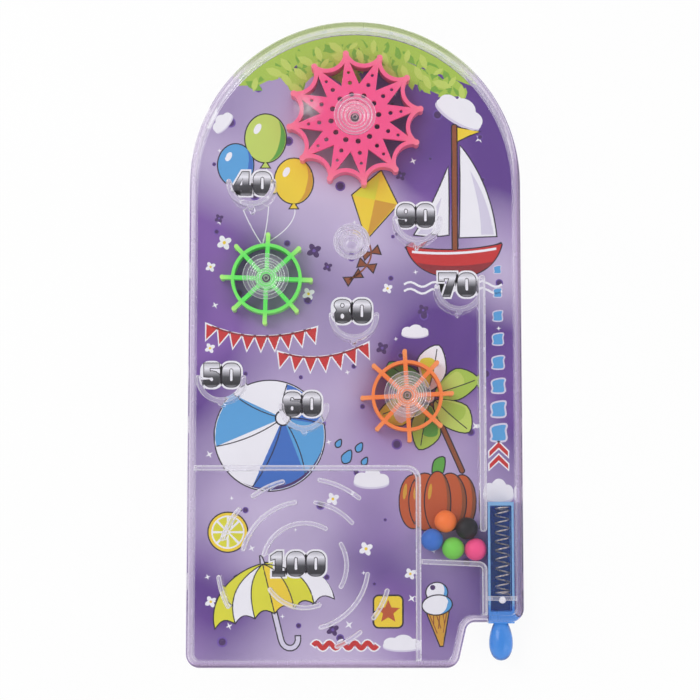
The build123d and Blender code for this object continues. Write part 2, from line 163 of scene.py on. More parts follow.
class PinballPlastics(PropertyGroup):
    """Colours and finish of the moulded parts, with the painted reflections, shade and highlights of the
    clear case, the plunger and the stop's post.
    """

    clear: colour("Clear", "Tint of the clear case", 250, 249, 253)
    # Painted reflection: the rim colour below is the card seen through the clear rim, painted on; the rim
    # shade is a painted shade along the rim's outer line.
    rim: colour("Rim", "Colour that the right and lower rim take from the card", 206, 186, 222)
    rim_shade: colour("Rim shade", "Outer line of the right and lower rim", 145, 128, 150)
    # Painted reflection of the card's green on the top of the arched rim.
    arch: colour("Arch", "Colour that the rim of the arch takes from the card", 160, 172, 128)
    joint: colour("Joint", "Pale joint between tray and cover", 226, 216, 234)
    # Painted reflection: the joint round the arch is tinted with the card's green seen through it.
    arch_joint: colour("Arch joint", "The same joint round the arch", 222, 232, 190)
    joint_haze: share("Joint haze", "Share of haze in the joint's matt faces", 0.6)
    clear_roughness: share("Clear roughness", "Least roughness of the clear case", 0.02)
    wall_haze: share("Wall haze", "Share of white haze in the clear playfield walls", 0.16)
    boss_haze: share("Boss haze", "Share of white haze in the clear bosses", 0.06)
    # Painted highlights: the white matt rounded edges of the walls and bosses stand in for light caught along
    # the clear edges.
    edge_haze: share("Edge haze", "Share of white where a rounded edge catches the light", 0.5)
    boss_edge: share("Boss edge", "Haze of the bosses' edges as a share of the walls'", 0.45)
    edge_round: length("Edge round", "Rounding of the moulded edges", 0.00042)
    hair: length("Hair gap", "Gap between clear mouldings that touch", 0.00003)
    pink: colour("Pink", "Web spinner", 255, 82, 140)
    pink_tip: colour("Pink tips", "Thin outer ribs of the web spinner", 255, 128, 150)
    green: colour("Green", "Wheel spinner at the left", 96, 240, 92)
    green_tip: colour("Green tips", "Posts of the green wheel", 190, 250, 130)
    orange: colour("Orange", "Wheel spinner at the right", 255, 128, 52)
    orange_tip: colour("Orange tips", "Posts of the orange wheel", 255, 158, 92)
    plunger: colour("Plunger", "Clear blue of the plunger and its knob", 76, 150, 235)
    # Painted highlight: paler blue on the plunger's rounded edges and top faces.
    plunger_edge: colour("Plunger edges", "Where the plunger's edges catch the light", 136, 190, 234)
    orange_ball: colour("Orange ball", "Ball in the tray", 255, 128, 58)
    black_ball: colour("Black ball", "Ball in the tray", 32, 31, 34)
    blue_ball: colour("Blue ball", "Ball in the tray", 62, 118, 205)
    green_ball: colour("Green ball", "Ball in the tray", 122, 214, 80)
    pink_ball: colour("Pink ball", "Ball in the tray", 252, 84, 142)
    # Painted highlight: a white cap in the stop's post stands in for the post's glint.
    cap: colour("Post cap", "White cap in the spring stop's post", 246, 246, 248)
    cap_radius: length("Cap radius", "Radius of the post cap", 0.00115)
    cap_rise: length("Cap rise", "Depth of the post cap below the cover", 0.0004)
    gate: FloatVectorProperty(
        name="Gate", description="Place of the gate mark", default=(-0.0169, 0.0847), size=2, unit="LENGTH"
    )
    gate_reach: length("Gate reach", "Radius of the gate mark", 0.006)
    wire: colour("Spring wire", "Steel of the plunger spring", 198, 190, 184)


class PinballPrint(PropertyGroup):
    """Inks and sizes of the card's print."""

    layer: length("Layer", "Thickness of one layer of ink", 0.000014)
    line: length("Line", "Width of the drawn outlines", 0.00045)
    numeral: length("Numeral height", "Height of the score numerals", 0.0086)
    deep: colour("Deep ground", "Darkest purple of the card", 96, 58, 142)
    middle: colour("Middle ground", "Purple of the card", 134, 92, 172)
    pale: colour("Pale ground", "Lilac glow on the card", 206, 192, 222)
    board: colour("Board", "Bare back of the card", 196, 190, 184)
    white: colour("White", "Ink", 247, 247, 250)
    mist: colour("Mist", "Ink of cloud shadows", 219, 214, 232)
    black: colour("Black", "Ink of outlines", 40, 33, 46)
    red: colour("Red", "Ink", 206, 44, 44)
    maroon: colour("Maroon", "Ink", 148, 40, 48)
    yellow: colour("Yellow", "Ink", 246, 214, 50)
    lemon: colour("Lemon", "Ink", 226, 224, 52)
    gold: colour("Gold", "Ink", 216, 160, 48)
    leaf: colour("Leaf", "Ink", 172, 204, 76)
    light_leaf: colour("Light leaf", "Ink", 196, 218, 100)
    dark_leaf: colour("Dark leaf", "Ink", 126, 178, 58)
    green: colour("Green", "Ink", 92, 168, 62)
    blue: colour("Blue", "Ink", 58, 112, 196)
    sky: colour("Sky", "Ink", 88, 166, 222)
    rust: colour("Rust", "Ink", 196, 88, 40)
    brown: colour("Brown", "Ink", 146, 78, 42)
    plum: colour("Plum", "Ink", 78, 48, 104)
    violet: colour("Violet", "Ink", 112, 80, 168)


class PinballSpring(PropertyGroup):
    """Sizes of the plunger spring's wire."""

    wire: length("Wire", "Thickness of the wire", 0.0006)
    end_pitch: length("End pitch", "Pitch of the closed end turns", 0.00115)
    turns: IntProperty(name="Open turns", description="Turns between the closed ends", default=9, min=1)
    steps: IntProperty(name="Steps", description="Points on each turn", default=28, min=8)
    sides: IntProperty(name="Sides", description="Sides of the wire's section", default=10, min=5)


class PinballStage(PropertyGroup):
    """Camera, light and floor."""

    camera: FloatVectorProperty(
        name="Camera",
        description="Place of the camera",
        default=(-0.00178, -0.07481, 0.700),
        subtype="TRANSLATION",
        unit="LENGTH",
    )
    tilt: FloatProperty(
        name="Tilt",
        description="Lean of the camera from straight down",
        default=math.radians(5.904),
        subtype="ANGLE",
    )
    lens: FloatProperty(name="Lens", description="Focal length", default=98.62, subtype="NONE")
    ambient: FloatProperty(name="Ambient", description="Light from all round", default=0.8, min=0)
    key: FloatProperty(name="Key", description="Power of the soft lamp", default=4.1, min=0, unit="POWER")
    fill: share("Fill", "Power of the second lamp as a share of the first", 0.35)
    ceiling: share("Ceiling", "Brightness that reflections see straight above", 0.3)
    floor_white: share("Floor white", "Share of plain white in the floor", 0.9)
    floor_reach: length("Floor reach", "Half the width of the floor", 3.0)
    floor_drop: length("Floor drop", "Depth of the floor below the game", 0.0003)


class Wiring:
    """A short way to place nodes in a tree and join them."""

    def __init__(self, tree):
        self.tree = tree

    def feed(self, socket, value):
        if isinstance(value, bpy.types.NodeSocket):
            self.tree.links.new(value, socket)
        elif socket.type == "RGBA" and len(value) == 3:
            socket.default_value = (*value, 1)
        else:
            socket.default_value = value

    def place(self, kind, feeds=None, **settings):
        node = self.tree.nodes.new(kind)
        for name, value in settings.items():
            setattr(node, name, value)
        for socket, value in (feeds or {}).items():
            self.feed(node.inputs[socket], value)
        return node

    def out(self, kind, feeds=None, **settings):
        """The first output of a node placed with these feeds."""
        return self.place(kind, feeds, **settings).outputs[0]

    def math(self, operation, *values, clamp=False):
        feeds = dict(enumerate(values))
        return self.out("ShaderNodeMath", feeds, operation=operation, use_clamp=clamp)

    def vector(self, operation, *values):
        node = self.place("ShaderNodeVectorMath", dict(enumerate(values)), operation=operation)
        return node.outputs["Value" if operation == "LENGTH" else "Vector"]

    def spread(self, value, low, high, new_low=0.0, new_high=1.0):
        """A value moved from one range to another, and held there."""
        feeds = {"Value": value, "From Min": low, "From Max": high, "To Min": new_low, "To Max": new_high}
        return self.out("ShaderNodeMapRange", feeds, clamp=True)

    def mix(self, factor, first, second, kind="MIX"):
        """Two colours mixed; the node's colour sockets have these numbers."""
        feeds = {0: factor, 6: first, 7: second}
        return self.place("ShaderNodeMix", feeds, data_type="RGBA", blend_type=kind).outputs[2]

    def noise(self, vector, size, detail=3.0, roughness=0.5, distortion=0.0):
        """Noise whose spots are about that size, in metres."""
        feeds = {"Vector": vector, "Scale": 1 / size, "Detail": detail}
        return self.out("ShaderNodeTexNoise", {**feeds, "Roughness": roughness, "Distortion": distortion})

    def objects(self):
        """Where a point lies on the piece, in metres."""
        return self.place("ShaderNodeTexCoord").outputs["Object"]

    def split(self, vector):
        return self.place("ShaderNodeSeparateXYZ", {"Vector": vector}).outputs

    def combine(self, x=0.0, y=0.0, z=0.0):
        return self.out("ShaderNodeCombineXYZ", {"X": x, "Y": y, "Z": z})

    def bump(self, height, strength, depth):
        return self.out("ShaderNodeBump", {"Height": height, "Strength": strength, "Distance": depth})

    def group(self, tree, feeds):
        """A group placed with its own values, as its outputs."""
        return self.place("ShaderNodeGroup", feeds, node_tree=tree).outputs


def new_tree(kind, name, inputs, outputs):
    """A node tree with sockets listed by their kind, as its wiring and the sockets of its two ends."""
    made = bpy.data.node_groups.new(name, f"{kind}NodeTree")
    for way, sockets in (("INPUT", inputs), ("OUTPUT", outputs)):
        for socket, labels in sockets.items():
            for label in labels:
                made.interface.new_socket(label, in_out=way, socket_type=f"NodeSocket{socket}")
    w = Wiring(made)
    return w, w.place("NodeGroupInput").outputs, w.place("NodeGroupOutput").inputs


def kept_tree(build):
    """A builder of a tree that runs only where the file has no tree of its name yet."""

    @functools.wraps(build)
    def find():
        name = build.__name__.replace("_", " ").capitalize()
        return bpy.data.node_groups.get(name) or build(name)

    return find


@kept_tree
def moulded_finish(name):
    """Group: the uneven gloss and fine scuffs of moulded plastic."""
    inputs = {"Float": ("Grain Size", "Least Roughness", "Greatest Roughness")}
    w, given, made = new_tree("Shader", name, inputs, {"Float": ("Roughness", "Height")})
    spot = w.objects()
    scale = w.math("DIVIDE", 1.0, given["Grain Size"])
    flow = w.out("ShaderNodeTexNoise", {"Vector": spot, "Scale": scale, "Detail": 4.0})
    turn = w.out("ShaderNodeMapping", {"Vector": spot, "Rotation": (0, 0, 0.6), "Scale": (1, 0.06, 1)})
    scuffed = w.spread(w.noise(turn, 0.0009, 2.0), 0.62, 0.72)
    rough = w.math("ADD", w.spread(flow, 0.35, 0.7), w.math("MULTIPLY", scuffed, 0.35), clamp=True)
    span = w.math("SUBTRACT", given["Greatest Roughness"], given["Least Roughness"])
    w.feed(made["Roughness"], w.math("MULTIPLY_ADD", rough, span, given["Least Roughness"]))
    w.feed(made["Height"], w.math("SUBTRACT", flow, w.math("MULTIPLY", scuffed, 0.4)))
    return w.tree


@kept_tree
def print_finish(name):
    """Group: ink on card, with its dot screen, uneven cover and paper grain."""
    inputs = {"Color": ("Colour",), "Float": ("Dot Pitch", "Dot Depth")}
    outputs = {"Color": ("Colour",), "Float": ("Roughness", "Height")}
    w, given, made = new_tree("Shader", name, inputs, outputs)
    spot = w.objects()
    x, y, _ = w.split(w.out("ShaderNodeMapping", {"Vector": spot, "Rotation": (0, 0, 0.52)}))
    rate = w.math("DIVIDE", math.tau, given["Dot Pitch"])
    waves = [w.math("SINE", w.math("MULTIPLY", side, rate)) for side in (x, y)]
    dots = w.spread(w.math("MULTIPLY", *waves), -0.6, 0.6)
    cover = w.noise(spot, 0.004, 4.0, 0.6)
    fibre = w.noise(spot, 0.00035, 2.0)
    dim = w.math("MULTIPLY", dots, given["Dot Depth"])
    worn = w.math("ADD", dim, w.spread(cover, 0.35, 0.75, 0.0, 0.07))
    darker = w.mix(0.5, given["Colour"], shade(40, 24, 60), "MULTIPLY")
    w.feed(made["Colour"], w.mix(worn, given["Colour"], darker))
    w.feed(made["Roughness"], w.spread(cover, 0.3, 0.7, 0.34, 0.48))
    w.feed(made["Height"], w.math("MULTIPLY_ADD", fibre, 0.6, w.math("MULTIPLY", dots, 0.2)))
    return w.tree


@kept_tree
def ring_mask(name):
    """Group: 0 inside a radius about an upright axis, 1 outside another."""
    inputs = {"Vector": ("Centre",), "Float": ("Inner", "Outer")}
    w, given, made = new_tree("Shader", name, inputs, {"Float": ("Mask",)})
    away = w.vector("SUBTRACT", w.objects(), given["Centre"])
    flat = w.vector("MULTIPLY", away, (1, 1, 0))
    w.feed(made["Mask"], w.spread(w.vector("LENGTH", flat), given["Inner"], given["Outer"]))
    return w.tree


def ring(w, centre, inner, outer):
    """The ring mask with its own centre and radii."""
    return w.group(ring_mask(), {"Centre": centre, "Inner": inner, "Outer": outer})["Mask"]


def plastic_finish(w, grain, gloss):
    """The moulded finish with a size of grain and a range of roughness, as its outputs."""
    feeds = {"Grain Size": grain, "Least Roughness": gloss[0], "Greatest Roughness": gloss[1]}
    return w.group(moulded_finish(), feeds)


def new_material(name):
    """An empty material, its wiring and the output that its shader goes to."""
    material = bpy.data.materials.new(name)
    material.use_nodes = True
    material.node_tree.nodes.clear()
    w = Wiring(material.node_tree)
    return material, w, w.place("ShaderNodeOutputMaterial").inputs["Surface"]


def principled(w, surface, feeds):
    """Ends a material in a principled shader."""
    w.feed(surface, w.out("ShaderNodeBsdfPrincipled", feeds))


def dimmed(tint, by):
    return tuple(value * by for value in tint)


def new_object(name, data):
    """An object in the scene's own collection."""
    made = bpy.data.objects.new(name, data)
    bpy.context.scene.collection.objects.link(made)
    return made


def new_mesh(name, data, *materials):
    """A mesh of bmesh data, with its materials."""
    mesh = bpy.data.meshes.new(name)
    data.to_mesh(mesh)
    data.free()
    for material in materials:
        mesh.materials.append(material)
    return mesh


def keep(name, mesh, body):
    """A finished mesh as a piece that rides on a body."""
    piece = new_object(name, mesh)
    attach(piece, body)
    return piece


def dress(node, material):
    """Gives a CAD node its material."""
    for slot in NODES[node].material_slots:
        slot.material = material


def middle_of(node):
    low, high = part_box(node)
    return (low + high) / 2


# Moulded parts


def moulded(node, body, material, edge=None):
    """A copy of a CAD node, a hair clear of what it touches; an edge material also rounds its edges and lies
    on them as a painted highlight.
    """
    look = bpy.context.scene.pinball_plastics
    name = f"{node}_moulding"
    data = bmesh.new()
    data.from_mesh(NODES[node].data)
    bmesh.ops.remove_doubles(data, verts=data.verts, dist=MERGE)
    bmesh.ops.dissolve_limit(data, angle_limit=FLAT_ANGLE, verts=data.verts, edges=data.edges)
    if edge:
        sharp = [e for e in data.edges if len(e.link_faces) == 2 and e.calc_face_angle() > SHARP_ANGLE]
        bmesh.ops.bevel(
            data,
            geom=sharp,
            offset=look.edge_round,
            offset_type="OFFSET",
            segments=2,
            profile=0.5,
            affect="EDGES",
            clamp_overlap=True,
            loop_slide=False,
            material=1,
        )
        bmesh.ops.dissolve_degenerate(data, dist=MERGE, edges=data.edges)
    data.normal_update()
    for corner in data.verts:
        corner.co -= corner.normal * look.hair
    mesh = new_mesh(name, data, *([material, edge] if edge else [material]))
    weight_normals(mesh)
    piece = keep(name, mesh, body)
    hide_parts(node)
    return piece


def weight_normals(mesh):
    """Shades flat faces flat and rounds smooth: each corner follows the larger faces of its own side."""
    around = [[] for corner in mesh.vertices]
    for face in mesh.polygons:
        for corner in face.vertices:
            around[corner].append((face.normal.copy(), face.area / MM**2))
    least = math.cos(SHARP_ANGLE)
    normals = []
    for face in mesh.polygons:
        for corner in face.vertices:
            side = [normal * area for normal, area in around[corner] if normal.dot(face.normal) >= least]
            normals.append(sum(side, Vector()).normalized() if side else face.normal.copy())
    mesh.shade_smooth()
    mesh.normals_split_custom_set(normals)


def turned(name, profile, place, material, count=32):
    """A piece turned about an upright axis from a profile of radii and heights in metres."""
    data = bmesh.new()
    rings = []
    for radius, height in profile:
        angles = [math.tau * k / count for k in range(count)] if radius else [0.0]
        spots = [(place[0] + radius * math.cos(a), place[1] + radius * math.sin(a), height) for a in angles]
        rings.append([data.verts.new(spot) for spot in spots])
    for low, high in zip(rings, rings[1:]):
        for k in range(count):
            steps = ((low, k), (low, k + 1), (high, k + 1), (high, k))
            quad = [edge[index % len(edge)] for edge, index in steps]
            data.faces.new(list(dict.fromkeys(quad)))
    bmesh.ops.recalc_face_normals(data, faces=data.faces)
    mesh = new_mesh(name, data, material)
    mesh.shade_smooth()
    mesh.set_sharp_from_angle(angle=SHARP_ANGLE)
    return keep(name, mesh, CASE)


def arch_share(w):
    """1 round the arch, fading to 0 below it."""
    return w.spread(w.split(w.objects())["Y"], CARD_HIGH.y - 20 * MM, CARD_HIGH.y - 10 * MM)


def case_tint(w, look):
    """The case's tint: clear, apart from a painted reflection of the card on its right, lower and arched rim,
    and a painted shade along the outer line of the right and lower rim.
    """
    x, y, z = w.split(w.objects())
    right, top, foot = CARD_HIGH.x, CARD_HIGH.y, CARD_LOW.y
    # Painted reflection of the card on the right and lower rim.
    rim = w.math("MAXIMUM", w.spread(x, right - MM, right), w.spread(y, foot + MM, foot))
    # Painted shade along the outer line of the right and lower rim, near the top of the cover.
    right_shade_line = w.spread(x, right + 0.1 * MM, right + 0.5 * MM)
    foot_shade_line = w.spread(y, foot - 0.1 * MM, foot - 0.5 * MM)
    line = w.math("MAXIMUM", right_shade_line, foot_shade_line)
    line = w.math("MULTIPLY", line, w.spread(z, COVER_TOP - 3 * MM, COVER_TOP - 2 * MM))
    # Painted reflection of the card's green on the top of the arched rim.
    outside = ring(w, (0, top - right, 0), right - 0.8 * MM, right - 0.4 * MM)
    arch_reflection = w.math("MULTIPLY", outside, arch_share(w))
    arch_reflection = w.math("MULTIPLY", arch_reflection, w.spread(z, COVER_TOP - 1.2 * MM, COVER_TOP - 0.6 * MM))
    return w.mix(arch_reflection, w.mix(line, w.mix(rim, look.clear, look.rim), look.rim_shade), look.arch)


def joint_tint(w, look):
    """The joint's tint: lilac, and a painted reflection of the card's green round the arch."""
    return w.mix(arch_share(w), look.joint, look.arch_joint)


def clear_material(name, haze, gloss, tint=None):
    """Clear moulding; lamp light, soft bounces and rays caught in a wall go straight through."""
    look = bpy.context.scene.pinball_plastics
    material, w, surface = new_material(name)
    finish = plastic_finish(w, 0.012, gloss)
    feeds = {
        "Base Color": tint(w, look) if tint else look.clear,
        "Roughness": finish["Roughness"],
        "IOR": 1.5,
        "Transmission Weight": 1 - haze,
        "Normal": w.bump(finish["Height"], 0.04, 0.0002),
    }
    glass = w.out("ShaderNodeBsdfPrincipled", feeds)
    path = w.place("ShaderNodeLightPath").outputs
    bounced = w.math("GREATER_THAN", path["Glossy Depth"], MIRROR_LIMIT)
    trapped = w.math("GREATER_THAN", path["Transmission Depth"], GLASS_LIMIT)
    trapped = w.math("MAXIMUM", bounced, trapped)
    soft = w.math("MAXIMUM", path["Is Diffuse Ray"], trapped)
    passing = w.math("MAXIMUM", path["Is Shadow Ray"], soft)
    through = w.out("ShaderNodeBsdfTransparent", {"Color": THROUGH_TINT})
    w.feed(surface, w.out("ShaderNodeMixShader", {0: passing, 1: glass, 2: through}))
    return material


def coloured_plastic(name, tint, gloss, tip=None, reach=None, scatter=0.2, transmission=0.0):
    """Coloured moulding, paler towards the tips where a reach of centre and radii is given."""
    material, w, surface = new_material(name)
    finish = plastic_finish(w, 0.006, gloss)
    cloudy = w.spread(w.noise(w.objects(), 0.009, 2.0), 0.3, 0.75, 0.0, 0.16)
    base = w.mix(cloudy, tint, tuple(min(1, value * 1.25 + 0.02) for value in tint))
    feeds = {
        "Base Color": w.mix(ring(w, *reach), base, tip) if reach else base,
        "Roughness": finish["Roughness"],
        "IOR": 1.48,
        "Subsurface Weight": scatter,
        "Subsurface Radius": (1.0, 0.7, 0.6),
        "Subsurface Scale": 0.0012,
        "Transmission Weight": transmission,
        "Normal": w.bump(finish["Height"], 0.08, 0.0002),
    }
    principled(w, surface, feeds)
    return material


def ball_material(name, tint, centre):
    """A moulded ball with a faint parting line round its middle."""
    material, w, surface = new_material(name)
    finish = plastic_finish(w, 0.0025, BALL_GLOSS)
    away = w.vector("SUBTRACT", w.objects(), centre)
    line = w.spread(w.math("ABSOLUTE", w.split(away)["Z"]), 0.00006, 0.00016, 1.0, 0.0)
    soft = w.spread(w.noise(w.objects(), 0.003, 3.0), 0.35, 0.7, 0.0, 0.12)
    base = w.mix(soft, tint, dimmed(tint, 0.8))
    height = w.math("ADD", w.math("MULTIPLY", finish["Height"], 0.3), line)
    feeds = {
        "Base Color": w.mix(w.math("MULTIPLY", line, 0.3), base, dimmed(tint, 0.6)),
        "Roughness": finish["Roughness"],
        "IOR": 1.46,
        "Specular IOR Level": 0.3,
        "Subsurface Weight": 0.12,
        "Subsurface Radius": (1.0, 0.8, 0.7),
        "Subsurface Scale": 0.0008,
        "Normal": w.bump(height, 0.15, 0.00008),
    }
    principled(w, surface, feeds)
    return material


def blush_material(place, reach):
    """The pale flow mark that a moulding gate leaves, fading outwards."""
    material, w, surface = new_material("gate blush")
    near = w.math("SUBTRACT", 1.0, ring(w, (*place, 0), 0.0, reach))
    streak = w.spread(w.noise(w.objects(), 0.003, 3.0), 0.3, 0.7, 0.05, 0.26)
    alpha = w.math("MULTIPLY", near, streak)
    principled(w, surface, {"Base Color": shade(250, 246, 250), "Roughness": 0.5, "Alpha": alpha})
    return material


def wire_material():
    """Drawn steel wire, with streaks along it and dull patches."""
    steel = bpy.context.scene.pinball_plastics.wire
    material, w, surface = new_material("spring wire")
    finish = plastic_finish(w, 0.0012, WIRE_GLOSS)
    dull = w.spread(w.noise(w.objects(), 0.0016, 3.0), 0.45, 0.7)
    feeds = {
        "Base Color": w.mix(dull, steel, dimmed(steel, 0.55)),
        "Metallic": 0.6,
        "Roughness": finish["Roughness"],
        "Normal": w.bump(finish["Height"], 0.1, 0.00005),
    }
    principled(w, surface, feeds)
    return material


def card_material():
    """The card: purple clouds of ink on its face, bare grey board on its edge and back."""
    inks = bpy.context.scene.pinball_print
    material, w, surface = new_material("printed card")
    spot = w.objects()
    drift = w.noise(spot, 0.055, 2.5, 0.45, 0.6)
    glow = w.noise(w.vector("ADD", spot, (0.31, 0.12, 0)), 0.085, 1.5, 0.4, 0.3)
    ground = w.mix(w.spread(drift, 0.4, 0.64), inks.deep, inks.middle)
    ground = w.mix(w.spread(glow, 0.44, 0.62), ground, inks.pale)
    fibres = w.noise(spot, 0.0007, 4.0, 0.7)
    board = w.mix(w.spread(fibres, 0.35, 0.65), inks.board, dimmed(inks.board, 0.8))
    face = w.math("GREATER_THAN", w.split(spot)["Z"], CARD_TOP - 0.02 * MM)
    ink_coat(w, surface, ground, 0.06, 0.06, (face, board))
    return material


# Flat print


def ink_coat(w, surface, tint, dots, grain=0.05, bare=None):
    """Ends a material in a coat of ink; bare gives a mask and the colour that shows where it is 0."""
    coat = w.group(print_finish(), {"Colour": tint, "Dot Pitch": DOT_PITCH, "Dot Depth": dots})
    feeds = {
        "Base Color": w.mix(*bare, coat["Colour"]) if bare else coat["Colour"],
        "Roughness": coat["Roughness"],
        "IOR": 1.45,
        "Normal": w.bump(coat["Height"], grain, 0.00003),
    }
    principled(w, surface, feeds)


def ink(name):
    """The material of one ink, made when it is first asked for."""
    title = f"ink {name.replace('_', ' ')}"
    if title in bpy.data.materials:
        return bpy.data.materials[title]
    material, w, surface = new_material(title)
    ink_coat(w, surface, getattr(bpy.context.scene.pinball_print, name), 0.05)
    return material


def numeral_ink():
    """A metal-like fade from pale to dark down each numeral, read from its own map."""
    material, w, surface = new_material("ink numeral fade")
    rise = w.split(w.place("ShaderNodeUVMap", uv_map="print").outputs["UV"])["Y"]
    ramp = w.place("ShaderNodeValToRGB", {"Fac": rise})
    stops = ((0.0, 150), (0.10, 40), (0.42, 70), (0.60, 168), (0.78, 246), (1.0, 190))
    points = ramp.color_ramp.elements
    while len(points) < len(stops):
        points.new(0.5)
    for point, (place, grey) in zip(points, stops):
        point.position = place
        point.color = (*shade(grey, grey, grey + 4), 1)
    ink_coat(w, surface, ramp.outputs["Color"], 0.04)
    return material


def placed(loop, x, y, turn=0.0, size=1.0):
    """A loop scaled, turned in degrees and moved."""
    c, s = math.cos(math.radians(turn)) * size, math.sin(math.radians(turn)) * size
    return [(x + px * c - py * s, y + px * s + py * c) for px, py in loop]


def arc(x, y, wide, tall, first, last, steps=7):
    """Points on an ellipse by its half width and half height, between two angles in degrees."""
    angles = [math.radians(first + (last - first) * k / steps) for k in range(steps + 1)]
    return [(x + wide * math.cos(a), y + tall * math.sin(a)) for a in angles]


def oval(x, y, wide, tall, turn=0.0, count=28):
    """An ellipse by its full width and height, turned in degrees."""
    angles = [math.tau * k / count for k in range(count)]
    return placed([(wide / 2 * math.cos(a), tall / 2 * math.sin(a)) for a in angles], x, y, turn)


def disc(wide, count=28):
    """A circle about the origin by its full width."""
    return oval(0, 0, wide, wide, 0, count)


def corners(x0, y0, x1, y1, radius, steps=5):
    """A rectangle with round corners."""
    left, right, low, high = x0 + radius, x1 - radius, y0 + radius, y1 - radius
    middles = ((right, high), (left, high), (left, low), (right, low))
    return [
        point
        for k, middle in enumerate(middles)
        for point in arc(*middle, radius, radius, 90 * k, 90 * k + 90, steps)
    ]


def spline(t, a, b, c, d):
    """A curve from b to c that leans on the points before and after them."""
    return b + t / 2 * (c - a + t * (2 * a - 5 * b + 4 * c - d + t * (3 * (b - c) + d - a)))


def smooth(points, steps=6):
    """A closed curve through points."""
    loop, count = [], len(points)
    for k in range(count):
        near = [points[(k + i - 1) % count] for i in range(4)]
        for step in range(steps):
            loop.append(tuple(spline(step / steps, *(p[axis] for p in near)) for axis in (0, 1)))
    return loop


def grown(loop, by):
    """A loop moved outwards by a width, or inwards where it is negative."""
    area = sum(a[0] * b[1] - b[0] * a[1] for a, b in zip(loop, loop[1:] + loop[:1]))
    side = by if area > 0 else -by
    moved = []
    for k, (x, y) in enumerate(loop):
        (ax, ay), (bx, by_) = loop[k - 1], loop[(k + 1) % len(loop)]
        before = Vector((x - ax, y - ay)).normalized()
        after = Vector((bx - x, by_ - y)).normalized()
        way = before + after
        if way.length < 1e-6:
            way = after.copy()
        way.normalize()
        stretch = side / max(way.dot(after), 0.55)
        moved.append((x + way.y * stretch, y - way.x * stretch))
    return moved


def ribbon(points, width):
    """An open line given a width."""
    left, right = [], []
    for k, (x, y) in enumerate(points):
        (ax, ay), (bx, by) = points[max(k - 1, 0)], points[min(k + 1, len(points) - 1)]
        way = Vector((bx - ax, by - ay)).normalized() * (width / 2)
        left.append((x - way.y, y + way.x))
        right.append((x + way.y, y - way.x))
    return left + right[::-1]


def wave(start, end, swing, waves, steps=28):
    """Points of a wavy line from one place to another."""
    line = Vector(end) - Vector(start)
    across = Vector((-line.y, line.x)).normalized() * swing
    shares = [k / steps for k in range(steps + 1)]
    return [tuple(Vector(start) + line * t + across * math.sin(math.tau * waves * t)) for t in shares]


def bend(start, middle, end, steps=16):
    """Points of a curve from start to end, drawn towards a middle point."""
    points = []
    for t in (k / steps for k in range(steps + 1)):
        pull = ((1 - t) ** 2, 2 * t * (1 - t), t * t)
        ends = (start, middle, end)
        points.append(tuple(sum(by * p[axis] for by, p in zip(pull, ends)) for axis in (0, 1)))
    return points


def scallop(near, far, rise, steps=6):
    """Points of a shallow bow between two places on a level line."""
    shares = [k / steps for k in range(steps + 1)]
    return [(near + (far - near) * t, rise * math.sin(math.pi * t)) for t in shares]


def star(reach, arms, waist, turn=90.0):
    """A star by its reach, the count of its arms and the share of its waist."""
    loop = []
    for k in range(2 * arms):
        radius = reach if k % 2 == 0 else reach * waist
        a = math.pi * k / arms
        loop.append((radius * math.cos(a), radius * math.sin(a)))
    return placed(loop, 0, 0, turn)


def crescent(x, y, wide, tall, first, last, depth, steps=14):
    """A sliver along the edge of an ellipse, between two angles in degrees."""
    outer, inner = [], []
    for t in (k / steps for k in range(steps + 1)):
        a = math.radians(first + (last - first) * t)
        reach = 1 - depth * math.sin(math.pi * t)
        outer.append((wide / 2 * math.cos(a), tall / 2 * math.sin(a)))
        inner.append((wide / 2 * reach * math.cos(a), tall / 2 * reach * math.sin(a)))
    return placed(outer + inner[-2:0:-1], x, y)


class Sheet:
    """Flat printed shapes that become one mesh, each a thin closed layer of one ink.

    Shapes are drawn about a spot, given as x, y and perhaps a turn and a size.
    """

    def __init__(self):
        self.shapes = []
        self.spot = (0, 0)

    def at(self, *spot):
        """The same sheet, drawn about another spot."""
        self.spot = spot
        return self

    def lay(self, tint, level, *loops):
        """A shape that already lies in its place."""
        self.shapes.append((tint, level, loops))

    def add(self, tint, level, *loops):
        self.lay(tint, level, *(placed(loop, *self.spot) for loop in loops))

    def lined(self, tint, loop, level=FILL, edge="black", width=None):
        """A shape with an outline of another ink under it."""
        line = bpy.context.scene.pinball_print.line / MM
        loop = placed(loop, *self.spot)
        self.lay(edge, level - 1, grown(loop, width or line))
        self.lay(tint, level, loop)

    def stroke(self, points, width, level=MARK, tint="black"):
        self.lay(tint, level, ribbon(placed(points, *self.spot), width))

    def mesh(self, name, fade=None):
        """The shapes as a mesh with a material for each ink, and a map over each shape's own box."""
        tints = list(dict.fromkeys(tint for tint, _, _ in self.shapes))
        layers = [(tints.index(tint), loops, print_height(level)) for tint, level, loops in self.shapes]
        materials = (fade if tint == "fade" else ink(tint) for tint in tints)
        return layer_mesh(name, layers, *materials)


def distinct(loop):
    """A closed loop without the points that repeat the one before them."""
    return [point for k, point in enumerate(loop) if math.dist(point, loop[k - 1]) * MM > MERGE]


def print_height(level):
    return CARD_TOP + level * bpy.context.scene.pinball_print.layer


def layer_mesh(name, layers, *materials):
    """A mesh of flat layers, each given by the index of its material, its loops and its height."""
    data = bmesh.new()
    chart = data.loops.layers.uv.new("print")
    for index, loops, low in layers:
        add_layer(data, chart, index, loops, low)
    bmesh.ops.recalc_face_normals(data, faces=data.faces)
    return new_mesh(name, data, *materials)


